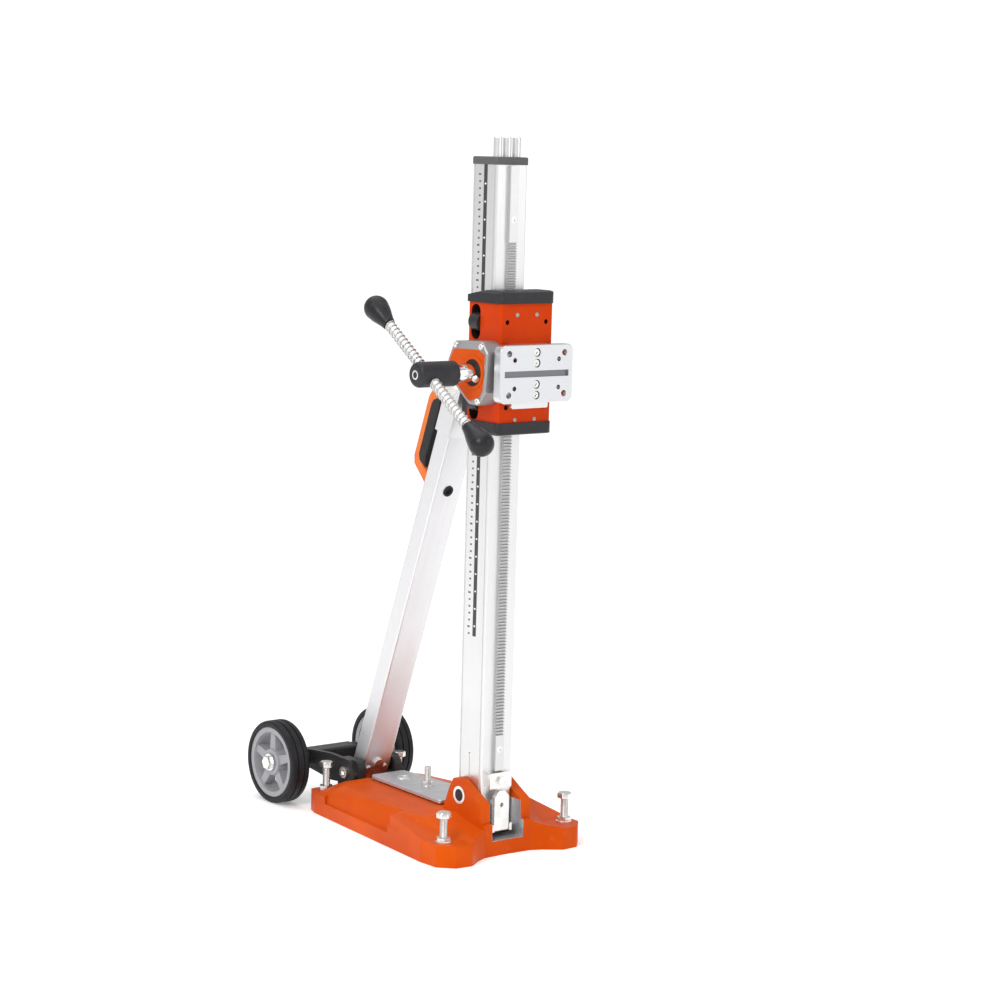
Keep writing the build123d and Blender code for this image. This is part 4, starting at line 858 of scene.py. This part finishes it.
def spirit_level():
    """Round bull's-eye level: rim, tinted window and bubble."""
    low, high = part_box("bullseye_level")
    axis = centre("bullseye_level")
    radius = extent("bullseye_level").x / 2
    top = high[2] - low[2]
    at = Matrix.Translation((axis.x, axis.y, low[2]))
    rim = lathe([(0.0, 0.0), (radius - 0.1 * MM, 0.0), (radius - 0.1 * MM, top - 0.6 * MM),
                 (radius - 0.8 * MM, top), (radius - 3.2 * MM, top), (radius - 3.8 * MM, top - 0.8 * MM),
                 (0.0, top - 0.8 * MM)], 56)
    rim.transform(at)
    ring = piece_from("level_rim", rim, "base", "machined_aluminium")
    crease_by_angle(ring, 30)
    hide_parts("bullseye_level")
    glass_r = radius - 4.0 * MM
    window = lathe([(0.0, top - 1.2 * MM), (glass_r, top - 1.2 * MM), (glass_r, top - 0.8 * MM),
                    (radius * 0.5, top - 0.25 * MM), (0.0, top - 0.1 * MM)], 48)
    window.transform(at)
    piece_from("level_window", window, "base", "level_body")
    bubble = lathe([(0.0, top - 0.4 * MM), (2.6 * MM, top - 0.4 * MM), (2.9 * MM, top - 0.1 * MM),
                    (2.0 * MM, top + 0.08 * MM), (0.0, top + 0.14 * MM)], 32)
    bubble.transform(Matrix.Translation((1.4 * MM, -1.0 * MM, 0.0)) @ at)
    bead = piece_from("level_bubble", bubble, "base", "level_body")
    bead.data.materials[0] = BUBBLE


def anchor_nut():
    """Flanged nut that draws the stud up against the cover plate."""
    axis = centre("anchor_stud")
    floor_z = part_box("cover_plate")[1][2]
    mesh = bmesh.new()
    hex_head(mesh, 14.0 * MM, 1.8 * MM, 7.6 * MM)
    merge(mesh, lathe(in_millimetres([(0.0, 0.0), (9.4, 0.0), (9.4, 1.2), (7.6, 2.0), (0.0, 2.0)]), 48))
    mesh.transform(Matrix.Translation((axis.x, axis.y, floor_z)))
    nut = piece_from("anchor_nut", mesh, "base", "bright_steel")
    crease_by_angle(nut, 30)


sleeve_bolt()
hub_end_ring()
spirit_level()
anchor_nut()


# ---- tyres ---------------------------------------------------------------------------------
TYRE_GROOVES = ((-6.4, -4.8), (4.8, 6.4))     # grooves between the three ribs, across the tread
GROOVE_DEEP = 1.7 * MM


def tyre(side):
    """Tyre with three ribs and a stepped sidewall."""
    node = f"wheel_tyre_{side}"
    span = extent(node)
    outer_r = span.z / 2
    half = span.x / 2
    bore = outer_r - 10.0 * MM
    sidewall = [(bore, 1.0), (bore + 1.2 * MM, 0.5), (bore + 2.2 * MM, 0.0), (outer_r - 3.6 * MM, 0.0),
                (outer_r - 1.6 * MM, 1.2), (outer_r - 0.4 * MM, 3.2), (outer_r, 5.6)]
    section = [(radius, -half + inset * MM) for radius, inset in sidewall]
    for first, last in TYRE_GROOVES:
        section += [(outer_r, (first - 0.4) * MM), (outer_r - GROOVE_DEEP, first * MM)]
        section += [(outer_r - GROOVE_DEEP, last * MM), (outer_r, (last + 0.4) * MM)]
    section += [(radius, half - inset * MM) for radius, inset in reversed(sidewall)]
    mesh = lathe(section, 96, closed=True)
    mesh.transform(Matrix.Translation(centre(node)) @ Matrix.Rotation(pi / 2, 4, "Y"))
    made = piece_from(f"ribbed_tyre_{side}", mesh, f"wheel_{side}", "tyre_rubber")
    crease_by_angle(made, 24)
    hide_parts(node)


for wheel_side in ("left", "right"):
    tyre(wheel_side)


# ---- plates with an outline ----------------------------------------------------------------
def slab(outline, low_x, high_x):
    """A plate between two places along X, from (y, z) points."""
    mesh = bmesh.new()
    near = [mesh.verts.new((low_x, y, z)) for y, z in outline]
    far = [mesh.verts.new((high_x, y, z)) for y, z in outline]
    mesh.faces.new(near)
    mesh.faces.new(far)
    join_rings(mesh, near, far)
    return mesh


def grown(outline, by):
    """The outline moved outwards from its middle."""
    middle = sum((Vector(point) for point in outline), Vector((0.0, 0.0))) / len(outline)
    moved = []
    for point in outline:
        away = Vector(point) - middle
        moved.append(tuple(middle + away * (1 + by / away.length)))
    return moved


# (y, z) in millimetres, clear of the casting's four screw heads
PANEL_OUTLINE = [
    (10.0, 716.0), (1.0, 731.5), (-11.0, 732.6), (-56.0, 734.0), (-70.0, 727.0), (-66.5, 678.0),
    (-61.0, 668.5), (-50.5, 664.5), (-41.0, 660.5), (-33.0, 662.0), (0.5, 688.0), (2.0, 698.0),
]


def gearbox_cover():
    """Orange cover on a dark sheet of painted shade, a little larger than the cover, with a raised ring
    round the shaft seal.
    """
    face = GEARBOX_FACE + 0.9 * MM
    back = face + 2.0 * MM
    outline = in_millimetres(PANEL_OUTLINE)
    # Painted shade: a dark sheet a little larger than the cover stands for the shade in the gap round it
    shade_slab = slab(grown(outline, 1.3 * MM), face - 0.35 * MM, back)
    shade_sheet = piece_from("gearbox_shade_sheet", shade_slab, "carriage", "rubber", smooth=False)
    soften(shade_sheet, 0.15 * MM)
    plate = slab(outline, face - 1.3 * MM, back)
    panel = piece_from("gearbox_cover", plate, "carriage", "orange_paint", smooth=False)
    soften(panel, 0.6 * MM)
    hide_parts("gearbox_panel")
    axis = centre("shaft_seal")
    section = [(19.0, 0.0), (24.0, 0.0), (24.0, 2.4), (23.2, 3.2), (19.8, 3.2), (19.0, 2.4)]
    rim = lathe(in_millimetres(section), 72, closed=True)
    rim.transform(facing_left((face, axis.y, axis.z)))
    raised = piece_from("seal_ring", rim, "carriage", "orange_paint")
    crease_by_angle(raised, 30)
    well = lathe(in_millimetres([(0.0, 0.0), (19.2, 0.0), (19.2, 1.7), (0.0, 1.7)]), 64)
    well.transform(facing_left((face, axis.y, axis.z)))
    dark = piece_from("seal_face", well, "carriage", "rubber")
    crease_by_angle(dark, 30)
    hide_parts("shaft_seal")


# (off, along) in millimetres from the brace's foot pin
GRIP_OUTLINE = [
    (33.0, 519.0), (30.0, 504.0), (45.5, 508.5), (51.0, 517.0), (51.0, 599.0), (48.5, 606.5),
    (33.0, 618.0), (31.0, 600.0),
]
GRIP_HALF = 17.6 * MM
FOOT_PIN = Vector((283.0, 60.0)) * MM     # (y, z)
HEAD_PIN = Vector((62.0, 668.0)) * MM


def handle_grip():
    """Soft grip filling the inside of the handle's frame."""
    along = (HEAD_PIN - FOOT_PIN).normalized()
    off = Vector((along.y, -along.x))
    outline = [tuple(FOOT_PIN + off * out + along * up) for out, up in in_millimetres(GRIP_OUTLINE)]
    body = slab(outline, -GRIP_HALF, GRIP_HALF)
    grip = piece_from("soft_grip", body, "brace", "grip_rubber", smooth=False)
    soften(grip, 2.2 * MM, 3)
    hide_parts("handle_grip")


gearbox_cover()
handle_grip()


# ---- scale on the column -------------------------------------------------------------------
INCH = 25.4 * MM
FIRST_INCH = 27.0 * MM      # below the strip's top
CENTIMETRE = 10.0 * MM
INK = 0.12 * MM


def ink_mark(mesh, face, span_y, z, half_high):
    """A thin printed block on the column's left face."""
    block_mesh(mesh, (face - INK, span_y[0], z - half_high), (face + INK, span_y[1], z + half_high))


def scale_marks():
    """Inch marks on the strip, and centimetre marks beside it on the column."""
    low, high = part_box("scale_strip")
    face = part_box("column_extrusion")[0][0]
    white = bmesh.new()
    middle = (low[1] + high[1]) / 2
    height = high[2] - FIRST_INCH
    while height > low[2] + 6 * MM:
        ink_mark(white, face, (middle - 1.7 * MM, middle + 1.7 * MM), height, 1.1 * MM)
        height -= INCH
    inches = piece_from("scale_inch_marks", white, "column", "scale_black", smooth=False)
    inches.data.materials[0] = WHITE_INK
    grey = bmesh.new()
    edge = high[1] + 6.5 * MM
    count = int((high[2] - low[2] - 4 * MM) / CENTIMETRE)
    for mark in range(count):
        z = high[2] - 14 * MM - mark * CENTIMETRE
        long_mark = 5.6 if mark % 5 == 0 else 4.0
        ink_mark(grey, face, (edge, edge + long_mark * MM), z, 1.3 * MM)
    centimetres = piece_from("scale_centimetre_marks", grey, "column", "scale_black", smooth=False)
    centimetres.data.materials[0] = GREY_INK


scale_marks()


# ---- studio --------------------------------------------------------------------------------
CAMERA_PLACE = Vector((-2.4828, -3.0963, 1.0307))
CAMERA_YAW = radians(38.897)
CAMERA_PITCH = radians(7.458)
CAMERA_ROLL = radians(1.529)
CAMERA_LENS = 100.0
SKY_STRENGTH = 0.60
BACKDROP_STRENGTH = 1.1
FLOOR_HALF = 30.0
# Name, place, height of the point it faces on the rig's axis, side and watts of each lamp
LAMPS = (
    ("key", (-2.6, -1.2, 2.4), 0.4, 1.2, 52.0),
    ("fill", (1.6, -3.0, 1.6), 0.5, 1.6, 14.0),
    ("top", (-0.2, 0.4, 3.2), 0.3, 3.0, 40.0),
)


def studio_camera():
    """The camera at its place, turned by its yaw, pitch and roll."""
    ahead_flat = Vector((sin(CAMERA_YAW), cos(CAMERA_YAW), 0.0))
    right = Vector((cos(CAMERA_YAW), -sin(CAMERA_YAW), 0.0))
    vertical = Vector((0.0, 0.0, 1.0))
    ahead = cos(CAMERA_PITCH) * ahead_flat - sin(CAMERA_PITCH) * vertical
    above = sin(CAMERA_PITCH) * ahead_flat + cos(CAMERA_PITCH) * vertical
    right_rolled = cos(CAMERA_ROLL) * right + sin(CAMERA_ROLL) * above
    above_rolled = cos(CAMERA_ROLL) * above - sin(CAMERA_ROLL) * right
    turn = Matrix((right_rolled, above_rolled, -ahead)).transposed()
    data = bpy.data.cameras.new("camera")
    data.lens = CAMERA_LENS
    data.sensor_width = 36.0
    data.clip_start = 0.1
    data.clip_end = 100.0
    camera = bpy.data.objects.new("camera", data)
    camera.matrix_world = Matrix.Translation(CAMERA_PLACE) @ turn.to_4x4()
    bpy.context.scene.collection.objects.link(camera)
    bpy.context.scene.camera = camera


def softbox(name, place, aim, side, watts):
    """A square lamp that faces a point."""
    data = bpy.data.lights.new(name, "AREA")
    data.shape = "SQUARE"
    data.size = side
    data.energy = watts
    lamp = bpy.data.objects.new(name, data)
    lamp.location = place
    lamp.rotation_mode = "QUATERNION"
    lamp.rotation_quaternion = (Vector(aim) - Vector(place)).to_track_quat("-Z", "Y")
    bpy.context.scene.collection.objects.link(lamp)


def studio():
    """White sky and floor, three lamps, and a pure white backdrop behind everything."""
    world = bpy.data.worlds.new("studio")
    world.use_nodes = True
    tree = world.node_tree
    sky = tree.nodes["Background"]
    sky.inputs["Color"].default_value = (1.0, 1.0, 1.0, 1.0)
    sky.inputs["Strength"].default_value = SKY_STRENGTH
    backdrop = tree.nodes.new("ShaderNodeBackground")
    backdrop.inputs["Color"].default_value = (1.0, 1.0, 1.0, 1.0)
    backdrop.inputs["Strength"].default_value = BACKDROP_STRENGTH
    seen = tree.nodes.new("ShaderNodeLightPath")
    mix = tree.nodes.new("ShaderNodeMixShader")
    tree.links.new(seen.outputs["Is Camera Ray"], mix.inputs[0])
    tree.links.new(sky.outputs[0], mix.inputs[1])
    tree.links.new(backdrop.outputs[0], mix.inputs[2])
    tree.links.new(mix.outputs[0], tree.nodes["World Output"].inputs["Surface"])
    bpy.context.scene.world = world
    bpy.context.scene.view_settings.view_transform = "Standard"
    floor_mesh = bmesh.new()
    bmesh.ops.create_grid(floor_mesh, x_segments=8, y_segments=8, size=FLOOR_HALF)
    mesh = bpy.data.meshes.new("floor")
    floor_mesh.to_mesh(mesh)
    floor_mesh.free()
    floor = bpy.data.objects.new("floor", mesh)
    mesh.materials.append(glowing_floor())
    bpy.context.scene.collection.objects.link(floor)
    for name, place, aim_high, side, watts in LAMPS:
        softbox(name, place, (0.0, 0.0, aim_high), side, watts)


studio_camera()
studio()
